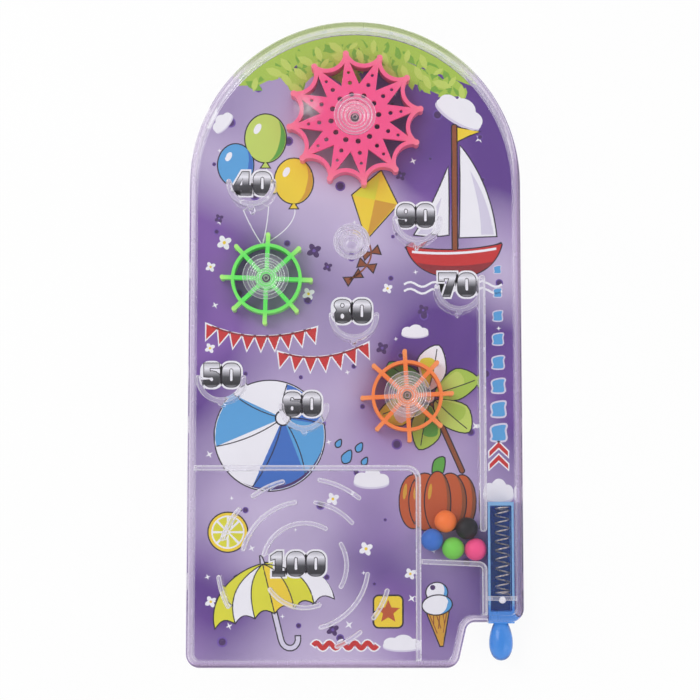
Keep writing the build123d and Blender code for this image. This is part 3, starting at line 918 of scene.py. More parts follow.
def add_layer(data, chart, index, loops, low):
    """One closed flat layer of ink, from loops in millimetres: an outline and its holes."""
    high = low + bpy.context.scene.pinball_print.layer
    flat = [[Vector((x * MM, y * MM, 0)) for x, y in distinct(loop)] for loop in loops]
    points = [point for loop in flat for point in loop]
    tops = [data.verts.new((p.x, p.y, high)) for p in points]
    feet = [data.verts.new((p.x, p.y, low)) for p in points]
    faces = []
    for a, b, c in tessellate_polygon(flat):
        faces.append(data.faces.new((tops[a], tops[b], tops[c])))
        faces.append(data.faces.new((feet[c], feet[b], feet[a])))
    start = 0
    for loop in flat:
        count = len(loop)
        for k in range(count):
            a, b = start + k, start + (k + 1) % count
            faces.append(data.faces.new((feet[a], feet[b], tops[b], tops[a])))
        start += count
    base_x, base_y = min(p.x for p in points), min(p.y for p in points)
    wide = max(p.x for p in points) - base_x
    tall = max(p.y for p in points) - base_y
    for face in faces:
        face.material_index = index
        for corner in face.loops:
            spot = corner.vert.co
            corner[chart].uv = ((spot.x - base_x) / wide, (spot.y - base_y) / tall)


def printed(name, sheet, fade=None):
    """A sheet of print as a piece on the case."""
    return keep(name, sheet.mesh(name, fade), CASE)


# Repeats made by geometry nodes


def geometry_tree(name, inputs):
    """A geometry tree with the inputs that it has beside its geometry and material."""
    sockets = {"Geometry": ("Geometry",), **inputs, "Material": ("Material",)}
    return new_tree("Geometry", name, sockets, {"Geometry": ("Geometry",)})


def finish_tree(w, geometry, given, made):
    """Ends a tree: real faces, with their material."""
    real = w.out("GeometryNodeRealizeInstances", {0: geometry})
    feeds = {"Geometry": real, "Material": given["Material"]}
    w.feed(made["Geometry"], w.out("GeometryNodeSetMaterial", feeds))
    return w.tree


def lay_shapes(w, points, turn, size, given, made):
    """Ends a tree with its shape laid on points, each turned and scaled in the plane."""
    feeds = {
        "Points": points,
        "Instance": w.place("GeometryNodeObjectInfo", {"Object": given["Shape"]}).outputs["Geometry"],
        "Rotation": w.combine(z=turn),
        "Scale": w.combine(size, size, 1.0),
    }
    return finish_tree(w, w.out("GeometryNodeInstanceOnPoints", feeds), given, made)


def random_number(w, least, greatest, seed):
    """A random number for each point."""
    node = w.place("FunctionNodeRandomValue", data_type="FLOAT")
    for socket in node.inputs:
        value = {"Min": least, "Max": greatest, "Seed": seed}.get(socket.name)
        if socket.enabled and value is not None:
            w.feed(socket, value)
    return next(socket for socket in node.outputs if socket.enabled)


@kept_tree
def scattered_print(name):
    """Shapes laid at random over a region, none nearer than a spacing."""
    numbers = ("Spacing", "Density", "Least Scale", "Greatest Scale", "Least Turn", "Greatest Turn", "Lift")
    inputs = {"Object": ("Shape",), "Float": numbers, "Int": ("Seed",)}
    w, given, made = geometry_tree(name, inputs)
    seed = given["Seed"]
    feeds = {"Mesh": given["Geometry"], "Distance Min": given["Spacing"], "Density Max": given["Density"]}
    feeds["Seed"] = seed
    points = w.out("GeometryNodeDistributePointsOnFaces", feeds, distribute_method="POISSON")
    rise = w.math("MULTIPLY", w.out("GeometryNodeInputIndex"), given["Lift"])
    raised = w.out("GeometryNodeSetPosition", {"Geometry": points, "Offset": w.combine(z=rise)})
    size = random_number(w, given["Least Scale"], given["Greatest Scale"], seed)
    turn = random_number(w, given["Least Turn"], given["Greatest Turn"], seed)
    return lay_shapes(w, raised, turn, size, given, made)


@kept_tree
def row_of_print(name):
    """Shapes along a curve that leans towards its middle point, changing in size from end to end."""
    places = ("Start", "Middle", "End")
    scales = ("First Scale", "Last Scale")
    inputs = {"Object": ("Shape",), "Vector": places, "Int": ("Count",), "Float": scales}
    w, given, made = geometry_tree(name, inputs)
    ends = {place: given[place] for place in places}
    curve = w.out("GeometryNodeCurveQuadraticBezier", {**ends, "Resolution": 64})
    feeds = {"Curve": curve, "Count": given["Count"]}
    points = w.place("GeometryNodeCurveToPoints", feeds, mode="COUNT").outputs
    along = w.math("DIVIDE", w.out("GeometryNodeInputIndex"), w.math("SUBTRACT", given["Count"], 1.0))
    first, last = (given[scale] for scale in scales)
    size = w.math("MULTIPLY_ADD", along, w.math("SUBTRACT", last, first), first)
    x, y, _ = w.split(points["Tangent"])
    return lay_shapes(w, points["Points"], w.math("ARCTAN2", y, x), size, given, made)


@kept_tree
def coil_spring(name):
    """A coil of round wire along -Y from its start, with a closed turn at each end."""
    sizes = ("Coil Radius", "Wire Radius", "Length", "End Pitch")
    counts = ("Open Turns", "Steps", "Sides")
    w, given, made = geometry_tree(name, {"Vector": ("Start",), "Float": sizes, "Int": counts})
    turns, pitch = given["Open Turns"], given["End Pitch"]
    count = w.math("MULTIPLY_ADD", w.math("ADD", turns, 2.0), given["Steps"], 1.0)
    line = w.out("GeometryNodeCurvePrimitiveLine")
    points = w.out("GeometryNodeResampleCurve", {"Curve": line, "Count": count})
    at = w.math("DIVIDE", w.out("GeometryNodeInputIndex"), given["Steps"])
    first = w.math("MINIMUM", at, 1.0)
    open_part = w.math("MINIMUM", w.math("MAXIMUM", w.math("SUBTRACT", at, 1.0), 0.0), turns)
    last = w.math("MAXIMUM", w.math("SUBTRACT", at, w.math("ADD", turns, 1.0)), 0.0)
    ends = w.math("MULTIPLY", w.math("ADD", first, last), pitch)
    room = w.math("SUBTRACT", given["Length"], w.math("MULTIPLY", pitch, 2.0))
    open_pitch = w.math("DIVIDE", room, turns)
    down = w.math("MULTIPLY", w.math("MULTIPLY_ADD", open_part, open_pitch, ends), -1.0)
    angle = w.math("MULTIPLY", at, math.tau)
    x, z = (w.math("MULTIPLY", w.math(way, angle), given["Coil Radius"]) for way in ("COSINE", "SINE"))
    spot = w.vector("ADD", w.combine(x, down, z), given["Start"])
    wound = w.out("GeometryNodeSetPosition", {"Geometry": points, "Position": spot})
    feeds = {"Resolution": given["Sides"], "Radius": given["Wire Radius"]}
    section = w.out("GeometryNodeCurvePrimitiveCircle", feeds, mode="RADIUS")
    feeds = {"Curve": wound, "Profile Curve": section, "Fill Caps": True}
    return finish_tree(w, w.out("GeometryNodeCurveToMesh", feeds), given, made)


def grow_mesh(name, tree, base, values):
    """The plain mesh that a tree makes from a base mesh, its inputs set by their labels."""
    carrier = new_object(name, base)
    modifier = carrier.modifiers.new(name, "NODES")
    modifier.node_group = tree
    for item in tree.interface.items_tree:
        if item.in_out == "INPUT" and item.name in values:
            modifier[item.identifier] = values[item.name]
    graph = bpy.context.evaluated_depsgraph_get()
    made = bpy.data.meshes.new_from_object(carrier.evaluated_get(graph), depsgraph=graph)
    carrier.modifiers.remove(modifier)
    bpy.data.objects.remove(carrier)
    if not made.polygons:
        raise RuntimeError(f"{name} came out empty")
    made.name = name
    return made


def repeated(name, tree, base, loop, tint, values):
    """A piece of print that a tree makes by repeating one flat shape about the origin."""
    shape = new_object("shape", layer_mesh("shape", [(0, (loop,), 0.0)]))
    mesh = grow_mesh(name, tree, base, {"Shape": shape, "Material": ink(tint), **values})
    bpy.data.objects.remove(shape)
    return keep(name, mesh, CASE)


def region_mesh(loop, level):
    """A flat face at a print level, for shapes to be laid on."""
    mesh = bpy.data.meshes.new("region")
    flat = [Vector((x * MM, y * MM, 0)) for x, y in loop]
    mesh.from_pydata([(p.x, p.y, print_height(level)) for p in flat], [], tessellate_polygon([flat]))
    data = bmesh.new()
    data.from_mesh(mesh)
    for face in data.faces:
        if face.normal.z < 0:
            face.normal_flip()
    data.to_mesh(mesh)
    data.free()
    return mesh


def scattered(name, region, loop, level, tint, spacing, seed, scales, turns):
    """A piece of shapes laid at random over a region of the card."""
    values = {
        "Spacing": spacing * MM,
        "Density": 4 / (spacing * MM) ** 2,
        "Seed": seed,
        "Least Scale": scales[0],
        "Greatest Scale": scales[1],
        "Least Turn": math.radians(turns[0]),
        "Greatest Turn": math.radians(turns[1]),
        "Lift": bpy.context.scene.pinball_print.layer * SCATTER_STEP,
    }
    return repeated(name, scattered_print(), region_mesh(region, level), loop, tint, values)


def row(name, loop, level, tint, path, count, scales=(1.0, 1.0)):
    """A piece of shapes along a curve on the card."""
    start, middle, end = ((x * MM, y * MM, print_height(level)) for x, y in path)
    values = {"Start": start, "Middle": middle, "End": end, "Count": count}
    values.update(zip(("First Scale", "Last Scale"), scales))
    return repeated(name, row_of_print(), bpy.data.meshes.new("row"), loop, tint, values)


def card_outline(inset):
    """The card's outline drawn in by an inset, with its arch and its lower right notch."""
    half = CARD_HIGH.x / MM - inset
    top, bottom = CARD_HIGH.y / MM - inset, CARD_LOW.y / MM + inset
    notch_x, notch_y = 34.5 - inset, -98.0 + inset
    foot = [(-half, bottom), (notch_x, bottom), (notch_x + 4, notch_y), (half, notch_y)]
    return arc(0, top - half, half, half, 0, 180, 48) + foot


def bough_region(inset):
    """Where the boughs hang: along the left of the arch and across its top."""
    half = CARD_HIGH.x / MM
    arch = arc(0, CARD_HIGH.y / MM - half, half - inset, half - inset, 42, 138, 24)
    hem = [(-36, 96), (-28, 99), (-22, 94), (-13, 101), (-4, 97), (6, 103), (15, 98), (24, 96)]
    hem += [(33, 92), (40, 94)]
    return arch + smooth(hem + [(10, 108), (-20, 106)], 4)[: 4 * len(hem)]


# Score numerals

NUMERAL_WIDE, NUMERAL_TALL = 64, 84
NUMERAL_STEP, NARROW_STEP = 70, 58
ROUND_NUMERALS = "05689"
NUMERAL_PLACES = {
    "40": (-37.4, 59.1),
    "90": (22.7, 47.1),
    "70": (37.8, 21.4),
    "80": (-0.7, 11.6),
    "50": (-48.4, -11.9),
    "60": (-19.0, -22.5),
    "100": (-20.4, -80.4),
}


def numeral_loops():
    """Loops of the numerals on a box 64 wide and 84 high: an outline, then its holes."""
    one = [(8, 0), (50, 0), (50, 15), (40, 15), (40, 84), (23, 84), (2, 70), (2, 56), (18, 60), (18, 15)]
    four = [(30, 84), (53, 84), (53, 33), (64, 33), (64, 17), (53, 17), (53, 12), (60, 12), (60, 0)]
    four += [(24, 0), (24, 12), (32, 12), (32, 17), (0, 17), (0, 33)]
    five = (
        [(5, 84), (59, 84), (59, 67), (25, 67), (25, 55)]
        + arc(34, 28, 30, 28, 90, -90)
        + arc(30, 28, 30, 28, -90, -168)
        + [(20, 24)]
        + arc(32, 27, 9, 10, -160, 120)
        + [(22, 35), (5, 37)]
    )
    six = (
        arc(37, 27, 27, 27, -90, 0)
        + arc(50, 38, 14, 14, 0, 90)
        + [(25, 52), (25, 60)]
        + arc(32, 60, 7, 7, 180, 0)
        + [(64, 60)]
        + arc(40, 60, 24, 24, 0, 90)
        + arc(27, 57, 27, 27, 90, 180)
        + arc(27, 27, 27, 27, 180, 270)
    )
    six_loops = [six, corners(25, 17, 39, 37, 7)]
    eight = [(32, 84), (55, 77), (60, 62), (52, 45), (64, 25), (56, 7), (32, 0), (8, 7), (0, 25), (12, 45)]
    eight += [(4, 62), (9, 77)]
    return {
        "0": [corners(0, 0, NUMERAL_WIDE, NUMERAL_TALL, 27, 6), corners(25, 18, 39, 66, 7)],
        "1": [one + [(8, 15)]],
        "4": [four, [(32, 33), (32, 62), (17, 33)]],
        "5": [five],
        "6": six_loops,
        "7": [[(2, 84), (63, 84), (63, 68), (40, 0), (17, 0), (39, 65), (20, 65), (20, 55), (2, 55)]],
        "8": [smooth(eight, 4), oval(32, 63, 16, 17), oval(32, 24, 18, 23)],
        "9": [[(NUMERAL_WIDE - x, NUMERAL_TALL - y) for x, y in loop] for loop in six_loops],
    }


def numeral_sheet():
    """Every score numeral, pale to dark, with a dark line and a white edge."""
    size = bpy.context.scene.pinball_print.numeral / MM / NUMERAL_TALL
    numerals = numeral_loops()
    round_halo = corners(0, 0, NUMERAL_WIDE, NUMERAL_TALL, 25)
    sheet = Sheet()
    for text, (x, y) in NUMERAL_PLACES.items():
        steps = [NARROW_STEP if digit == "1" else NUMERAL_STEP for digit in text]
        left, foot = x - sum(steps) * size / 2, y - NUMERAL_TALL * size / 2
        for digit, step in zip(text, steps):
            outline, *holes = (placed(loop, left, foot, 0, size) for loop in numerals[digit])
            halo = placed(round_halo, left, foot, 0, size) if digit in ROUND_NUMERALS else outline
            sheet.lay("white", HALO, grown(halo, 0.95))
            sheet.lay("black", RIM, grown(outline, 0.3), *(grown(hole, -0.25) for hole in holes))
            sheet.lay("fade", FACE, outline, *holes)
            left += step * size
    return sheet


# Motifs of the print, drawn about a sheet's spot

CLOUD_LOBES = ((0, -0.1, 1.0, 0.58), (-0.27, 0.04, 0.42, 0.66), (0.03, 0.14, 0.5, 0.8), (0.3, 0.0, 0.38, 0.6))


def add_cloud(sheet, wide, tall):
    """A white cloud of overlapping ovals, over a shadow of the same form."""
    for tint, level, drop in (("mist", LINE, 0.1), ("white", FILL, 0)):
        for k, (right, up, lobe_wide, lobe_tall) in enumerate(CLOUD_LOBES):
            lobe = oval(right * wide, (up - drop) * tall, lobe_wide * wide, lobe_tall * tall)
            sheet.add(tint, level + k * OVERLAP, lobe)


def add_balloon(sheet, wide, tint, shadow, tie):
    """A toy balloon on a string to where it is tied, with a sheen and a shaded side."""
    tall = wide * 1.2
    foot = -tall / 2
    sheet.stroke(bend((0, foot), (wide * 0.2, (foot + tie[1]) / 2), tie), 0.35, BACK, "white")
    sheet.lined(tint, [(0, foot + 0.3), (wide * 0.1, foot - wide * 0.13), (-wide * 0.1, foot - wide * 0.13)])
    sheet.lined(tint, oval(0, 0, wide, tall, 0, 40))
    sheet.add(shadow, MARK, crescent(0, 0, wide * 0.98, tall * 0.98, -80, 50, 0.28))
    sheet.add("white", MARK, oval(-wide * 0.2, tall * 0.2, wide * 0.16, tall * 0.24, -28, 16))


def add_boat(sheet):
    """A sailing boat with white sails over a red hull, on two waves."""
    main = bend((1.6, 7), (2.2, 24), (2.0, 41), 8) + bend((2.0, 41), (13, 27), (15, 7.5))[1:]
    jib = bend((-2.6, 33), (-2.4, 20), (-2.6, 8), 8) + bend((-2.6, 8), (-8, 7), (-15, 8), 8)[1:]
    jib += bend((-15, 8), (-8, 19), (-2.6, 33))[1:-1]
    hull = [(-18, 3.5), *bend((-18, 3.5), (0, 0.5), (17, 4.5)), *bend((17, 4.5), (14, -7), (0, -8))]
    hull += bend((0, -8), (-15, -7), (-18, 3.5))[:-1]
    keel = bend((-14, -2.5), (0, -5), (14, -2), 10) + bend((14, -2), (10, -7), (0, -7.6), 8)[1:]
    keel += bend((0, -7.6), (-11, -7), (-14, -2.5), 8)[1:-1]
    sheet.lined("brown", corners(-1.0, 2, 0.6, 49, 0.6))
    for sail in (main, jib):
        sheet.lined("white", sail)
    for foot, out, peak, back, end in (
        ((9.5, 8), (9.5, 18), (5.5, 32), (12, 22), (14.2, 8)),
        ((-9.5, 8), (-7, 12), (-5, 22), (-9, 15), (-14, 8.2)),
    ):
        sheet.add("mist", MARK, bend(foot, out, peak, 8) + bend(peak, back, end, 8)[1:])
    sheet.lined("yellow", [(1, 43), (1, 48), (9, 46.5), (5, 45)])
    sheet.lined("red", hull)
    sheet.add("maroon", MARK, keel)
    sheet.stroke(bend((-16, 1.6), (0, 0), (15, 2.8)), 0.9, MARK, "white")
    for rise in (-10.5, -13):
        sheet.stroke(wave((-19, rise), (17, rise), 0.9, 4), 0.8, FILL, "white")


def add_kite(sheet):
    """A kite in four quarters, with a tail of bows."""
    kite = sheet.spot
    sheet.lined("yellow", [(0, 13), (8.5, 2), (0, -13), (-8.5, 2)])
    sheet.add("gold", MARK, [(0, 2), (8.2, 2), (0, -12.6)])
    sheet.add("lemon", MARK, [(0, 2), (-8.2, 2), (0, 12.6)])
    tail = bend((0, -13), (7, -20), (-3, -29))
    sheet.stroke(tail, 0.6, FILL, "brown")
    for point, turn in ((5, 20), (10, -20), (15, 30)):
        ((x, y),) = placed([tail[point]], *kite)
        for side in (0, 180):
            sheet.at(x, y, turn + side).lined("brown", [(0, 0), (3, 1.5), (3, -1.5)])


def add_beach_ball(sheet, wide):
    """A ball in gores of blue, sky and white about a cap."""
    cap_x, cap_y = wide * 0.12, wide * 0.16
    sheet.lined("white", disc(wide, 56))
    for k, tint in enumerate(("blue", "white", "sky", "white", "blue", "sky")):
        start = 60 * k + math.degrees(0.2)
        edge = arc(0, 0, wide * 0.495, wide * 0.495, start, start + 60, 9)
        if tint != "white":
            sheet.add(tint, MARK, [(cap_x, cap_y)] + edge)
        x, y = edge[0]
        middle = ((cap_x + x) / 2 - (y - cap_y) * 0.12, (cap_y + y) / 2 + (x - cap_x) * 0.12)
        sheet.stroke(bend((cap_x, cap_y), middle, edge[0], 10), 0.4, HALO)
    sheet.add("black", HALO, oval(cap_x, cap_y, wide * 0.15, wide * 0.15))
    sheet.add("white", RIM, oval(cap_x, cap_y, wide * 0.12, wide * 0.12))
    sheet.add("plum", RIM, crescent(0, 0, wide * 0.985, wide * 0.985, -120, -10, 0.045))


BLADE_TINTS = (
    ("leaf", "light_leaf"),
    ("white", "lemon"),
    ("green", "leaf"),
    ("lemon", "white"),
    ("leaf", "green"),
    ("light_leaf", "leaf"),
)


def add_pinwheel(sheet, reach):
    """A paper windmill with folded blades in greens, yellow and white."""
    place = sheet.spot
    sheet.at(*place, 24).lined("brown", corners(-0.7, -30, 0.7, 0, 0.7), BACK)
    for k, (blade, fold) in enumerate(BLADE_TINTS):
        sheet.at(*place, 60 * k + 10)
        sheet.lined(blade, smooth([(2.5, 1), (reach * 0.55, -2.6), (reach, 3), (reach * 0.6, 8.4)], 5))
        sheet.add(fold, MARK, smooth([(3, 1.5), (reach * 0.7, 2.4), (reach * 0.6, 7.6)], 5))
        sheet.stroke(bend((2, 1), (reach * 0.5, 1.5), (reach * 0.93, 3.2), 8), 0.35, HALO)
    sheet.at(*place).lined("white", disc(4), HALO)
    sheet.add("yellow", RIM, disc(2.6))


def add_pumpkin(sheet, wide):
    """A pumpkin of overlapping lobes with a green stalk."""
    tall = wide * 0.8
    top = tall / 2
    sheet.lined("green", smooth([(-1.6, top - 1), (-1, top + 4), (2.5, top + 5), (1.6, top - 1)], 4))
    for offset, narrow, level in ((0.33, 0.36, BACK), (0.17, 0.42, FILL), (0, 0.34, HALO)):
        for side in (-1, 1) if offset else (1,):
            lobe = (side * offset * wide, 0, wide * narrow, tall * (1 - offset * 0.35))
            sheen = (lobe[0] - wide * narrow * 0.3, tall * 0.17, wide * 0.05, tall * 0.27)
            sheet.lined("rust", oval(*lobe, 0, 36), level)
            sheet.add("brown", level + 1, crescent(*lobe, -80, 70, 0.25))
            sheet.add("gold", level + 1, oval(*sheen, -8, 16))


def add_cone(sheet):
    """A wafer cone with two white scoops."""
    sheet.lined("gold", [(-5.4, 2), (5.4, 2), (0.6, -15), (-0.6, -15)])
    for k in range(3):
        top, foot = 4.6 - k * 3.4, 4.6 - k * 3.4 - 3.2 + k * 1.4
        for side in (-1, 1):
            sheet.stroke([(side * top, 1.6), (side * foot, -9 + k * 2.2)], 0.35, MARK, "brown")
    for scoop, level in (((0.5, 10.5, 10, 9), BACK), ((0, 4.5, 14, 9), HALO)):
        sheet.lined("white", oval(*scoop), level)
        sheet.add("sky", level + 1, crescent(*scoop, -80, 50, 0.3))


def add_umbrella(sheet, reach):
    """An open umbrella in gores of yellow and white, with a hooked handle."""
    count, tall, grip = 6, reach * 0.82, reach * 0.46
    hook = arc(reach * 0.14, -grip, reach * 0.14, reach * 0.16, 180, 360, 8)[1:]
    sheet.lined("mist", ribbon([(0, 0), (0, -grip)] + hook, 1.5), LINE)
    feet = [-reach + 2 * reach * k / count for k in range(count + 1)]
    canopy, hem = [], []
    for k in range(count):
        canopy += arc(0, 0, reach, tall, 180 * k / count, 180 * (k + 1) / count, 6)
        hem += scallop(feet[k], feet[k + 1], reach * 0.09)[:-1]
    sheet.lined("lemon", canopy + hem[1:])
    ribs = [bend((foot, 0), (foot * 1.05, reach * 0.62), (0, tall), 10) for foot in feet]
    for k in range(1, count):
        if k % 2:
            sag = scallop(feet[k], feet[k + 1], reach * 0.085)
            gore = ribs[k][:-1] + ribs[k + 1][:0:-1] + sag[:0:-1]
            sheet.add("yellow" if k == 3 else "white", MARK, gore)
        sheet.stroke(ribs[k], 0.4, HALO)
    low, high = reach * 0.8, reach * 0.95
    sheet.lined("mist", [(-0.7, low), (0.7, low), (0.2, high), (-0.2, high)])


def add_lemon(sheet, wide, wedges=8):
    """A slice of lemon: rind, pith and wedges."""
    sheet.lined("yellow", disc(wide, 36))
    sheet.add("white", MARK, disc(wide * 0.86, 36))
    gap, step = math.degrees(0.08), 360 / wedges
    for start in (step * k for k in range(wedges)):
        tip = arc(0, 0, wide * 0.05, wide * 0.05, start + step / 2, start + step / 2, 1)[:1]
        edge = arc(0, 0, wide * 0.39, wide * 0.39, start + gap, start + step - gap, 4)
        sheet.add("lemon", HALO, tip + edge)


def add_blossom(sheet, reach, tint, heart):
    """A small flower of four petals."""
    for k in range(4):
        a = math.tau * k / 4 + 0.5
        spot = (reach * 0.55 * math.cos(a), reach * 0.55 * math.sin(a))
        sheet.add(tint, PETAL + k * OVERLAP, oval(*spot, reach * 1.1, reach * 0.8, math.degrees(a), 14))
    sheet.add(heart, PETAL + 1, disc(reach * 0.5, 12))


CLOUDS = (
    (39, 86, -32, 19, 10),
    (-49, 82, 50, 9, 5.5),
    (51.9, -54.5, 0, 11.5, 9),
    (6, -50, 0, 13, 7),
    (22, 4, 0, 10, 5),
    (17, -109, 0, 14, 6),
)
WHITE_BLOSSOMS = (
    *((-48, 37, 2.6), (-53, 28, 1.8), (-17, 18, 2.2), (12, 20, 1.8), (-53, -2, 1.8)),
    *((-8, -57, 2.2), (4, -75, 2.4), (-52, -94, 2), (20, -84, 2)),
)
PLUM_BLOSSOMS = (
    *((-15, 34, 2.6), (-10, 28, 1.7), (-50, 46, 1.6), (25, 12, 2), (17, 62, 1.8)),
    *((10, -2, 2.2), (-8, -104, 2.2)),
)
BALLOONS = (
    (-44, 66, 13, "sky", "blue"),
    (-22.5, 60, 14, "yellow", "gold"),
    (-33, 76, 15, "light_leaf", "green"),
)
BALLOON_TIE = (-34, 36)
DROPS = ((-3, -42, 1.8), (1.5, -38.5, 1.2), (-6, -37, 1.0), (3.5, -43.5, 1.0))


def sky_sheet():
    """Clouds between the larger motifs."""
    sheet = Sheet()
    for x, y, turn, wide, tall in CLOUDS:
        add_cloud(sheet.at(x, y, turn), wide, tall)
    return sheet


def blossom_sheet():
    """Small white and plum flowers between the larger motifs."""
    sheet = Sheet()
    for places, tint, heart in ((WHITE_BLOSSOMS, "white", "yellow"), (PLUM_BLOSSOMS, "plum", "violet")):
        for x, y, reach in places:
            add_blossom(sheet.at(x, y), reach, tint, heart)
    return sheet


def upper_sheet():
    """Balloons, a sailing boat and a kite, over the upper half of the card."""
    sheet = Sheet()
    for x, y, wide, tint, shadow in BALLOONS:
        add_balloon(sheet.at(x, y), wide, tint, shadow, (BALLOON_TIE[0] - x, BALLOON_TIE[1] - y))
    add_boat(sheet.at(37, 32))
    add_kite(sheet.at(7, 51, -12))
    return sheet


def lower_sheet():
    """Toys and fruit over the lower half of the card."""
    sheet = Sheet()
    add_beach_ball(sheet.at(-31, -34), 40)
    add_pinwheel(sheet.at(27, -20), 19)
    add_pumpkin(sheet.at(30, -58), 27)
    add_cone(sheet.at(30, -98.5, 6, 0.75))
    add_umbrella(sheet.at(-29, -98, 14), 22)
    add_lemon(sheet.at(-46, -69), 14)
    drop = smooth([(0, 1.6), (0.9, -0.2), (0, -1.2), (-0.9, -0.2)], 5)
    for x, y, size in DROPS:
        sheet.at(x, y, -30, size).lined("sky", drop)
    sheet.at(0, 0).lined("yellow", corners(7, -103, 17, -92, 1.6), FILL, "black", 0.6)
    sheet.at(12, -97.6).add("rust", MARK, star(4.4, 5, 0.45))
    return sheet


def lane_sheet(x):
    """Two plain arrows up the lane, and a wavy line along the bottom edge."""
    sheet = Sheet()
    arrow = [(0, 2.2), (3.4, -1.2), (3.4, -3.0), (0, 0.2), (-3.4, -3.0), (-3.4, -1.2)]
    for y in (-43.2, -38.6):
        sheet.at(x, y).lined("red", arrow, FILL, "white", 0.5)
    line = ribbon(wave((-15, -109.6), (8, -109.6), 1.0, 5, 60), 1.7)
    sheet.at(0, 0).lined("red", line, FILL, "white", 0.5)
    return sheet


# Operators


class PINBALL_OT_clear_parts(Operator):
    """Dress the clear case, its walls and its bosses, with painted reflections and shade on the rim and
    painted highlights on the edges
    """

    bl_idname = "pinball.clear_parts"
    bl_label = "Clear parts"

    def execute(self, context):
        look = context.scene.pinball_plastics
        gloss = (look.clear_roughness, look.clear_roughness + CLEAR_SPAN)
        # The case and joint tints carry the painted reflections and shade of the rim.
        case = clear_material("clear case", 0.0, gloss, case_tint)
        joint = clear_material("clear joint", look.joint_haze, MATT, joint_tint)
        for node in ("base_tray", "clear_cover"):
            piece = moulded(node, CASE, case)
            piece.data.materials.append(joint)
            for face in piece.data.polygons:
                if abs(face.normal.z) > FLAT_FACE and JOINT_LOW < face.center.z < JOINT_HIGH:
                    face.material_index = 1
        for name, nodes, haze, bright in (
            ("wall", WALL_NODES, look.wall_haze, look.edge_haze),
            ("boss", BOSS_NODES, look.boss_haze, look.edge_haze * look.boss_edge),
        ):
            material = clear_material(f"clear {name}", haze, gloss)
            # The edge material is white and matt: a painted highlight along the rounded edges.
            edge = clear_material(f"clear {name} edge", bright, MATT)
            for node in nodes:
                moulded(node, CASE, material, edge)
        return {"FINISHED"}


class PINBALL_OT_small_marks(Operator):
    """Add the white cap on the spring stop's post, a painted highlight, and the gate mark on the cover"""

    bl_idname = "pinball.small_marks"
    bl_label = "Small marks"

    def execute(self, context):
        look = context.scene.pinball_plastics
        stop = middle_of("spring_stop")
        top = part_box("spring_stop")[1].z
        # The white cap is a painted highlight: it stands in for the glint on the post.
        white = coloured_plastic("post cap plastic", look.cap, SATIN)
        steps = ((0, 2), (0.9, 2), (1.0, 1.6), (0.85, 1.1), (0, 1))
        profile = [(out * look.cap_radius, top - down * look.cap_rise) for out, down in steps]
        turned("stop_post_cap", profile, (stop.x, stop.y), white)
        gate, reach = look.gate, look.gate_reach
        face = COVER_TOP + look.hair
        thick = face + look.hair
        profile = [(0, face), (reach, face), (reach, thick), (reach / 2, thick), (0, thick)]
        turned("gate_mark", profile, gate, blush_material(gate, reach))
        return {"FINISHED"}


class PINBALL_OT_spinners(Operator):
    """Dress the three spinners, paler towards their tips"""

    bl_idname = "pinball.spinners"
    bl_label = "Spinners"

    def execute(self, context):
        look = context.scene.pinball_plastics
        for name in SPINNERS:
            node = f"{name}_spinner"
            low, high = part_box(node)
            half = (high.x - low.x) / 2
            reach = (middle_of(node), half * 0.68, half * 1.02)
            tip = getattr(look, f"{name}_tip")
            dress(node, coloured_plastic(f"{name} plastic", getattr(look, name), SATIN, tip, reach))
        return {"FINISHED"}


class PINBALL_OT_plunger(Operator):
    """Dress the plunger in translucent blue, with a painted highlight of paler blue on its rounded edges and
    top faces
    """

    bl_idname = "pinball.plunger"
    bl_label = "Plunger"

    def execute(self, context):
        look = context.scene.pinball_plastics
        plastic = coloured_plastic(
            "plunger plastic", look.plunger, TROUGH_GLOSS, scatter=0.0, transmission=0.8
        )
        middle, shelf = middle_of("plunger"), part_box("ball_ledge")[0].y
        front = Vector((middle.x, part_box("plunger")[1].y, middle.z))
        tail = front.y - shelf
        reach = (front, tail - 4 * MM, tail - 2 * MM)
        # Painted highlight: paler blue on the rounded edges, fading to the plain blue past the ledge towards
        # the knob.
        edge = coloured_plastic("plunger edge", look.plunger_edge, MATT, look.plunger, reach, 0.0, 0.2)
        piece = moulded("plunger", "plunger", plastic, edge)
        # Painted highlight also on the top faces along the trough.
        for face in piece.data.polygons:
            if face.normal.z > FLAT_FACE and face.center.z > middle.z and face.center.y > shelf:
                face.material_index = 1
        return {"FINISHED"}


class PINBALL_OT_spring(Operator):
    """Wind the plunger spring from round wire"""

    bl_idname = "pinball.spring"
    bl_label = "Plunger spring"

    def execute(self, context):
        sizes = context.scene.pinball_spring
        low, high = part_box("plunger_spring")
        middle = (low + high) / 2
        values = {
            "Start": (middle.x, high.y - sizes.wire / 2, middle.z),
            "Coil Radius": (high.x - low.x - sizes.wire) / 2,
            "Wire Radius": sizes.wire / 2,
            "Length": high.y - low.y - sizes.wire,
            "End Pitch": sizes.end_pitch,
            "Open Turns": sizes.turns,
            "Steps": sizes.steps,
            "Sides": sizes.sides,
            "Material": wire_material(),
        }
        mesh = grow_mesh("spring_wire", coil_spring(), bpy.data.meshes.new("coil"), values)
        mesh.shade_smooth()
        piece = keep("spring_wire", mesh, CASE)
        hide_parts("plunger_spring")
        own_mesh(piece)
        return {"FINISHED"}


class PINBALL_OT_balls(Operator):
    """Dress the five balls"""

    bl_idname = "pinball.balls"
    bl_label = "Balls"

    def execute(self, context):
        look = context.scene.pinball_plastics
        for name in BALLS:
            node = f"{name}_ball"
            dress(node, ball_material(f"{name} ball plastic", getattr(look, node), middle_of(node)))
        return {"FINISHED"}


class PINBALL_OT_card(Operator):
    """Print the card's purple ground"""

    bl_idname = "pinball.card"
    bl_label = "Card"

    def execute(self, context):
        dress("printed_card", card_material())
        return {"FINISHED"}


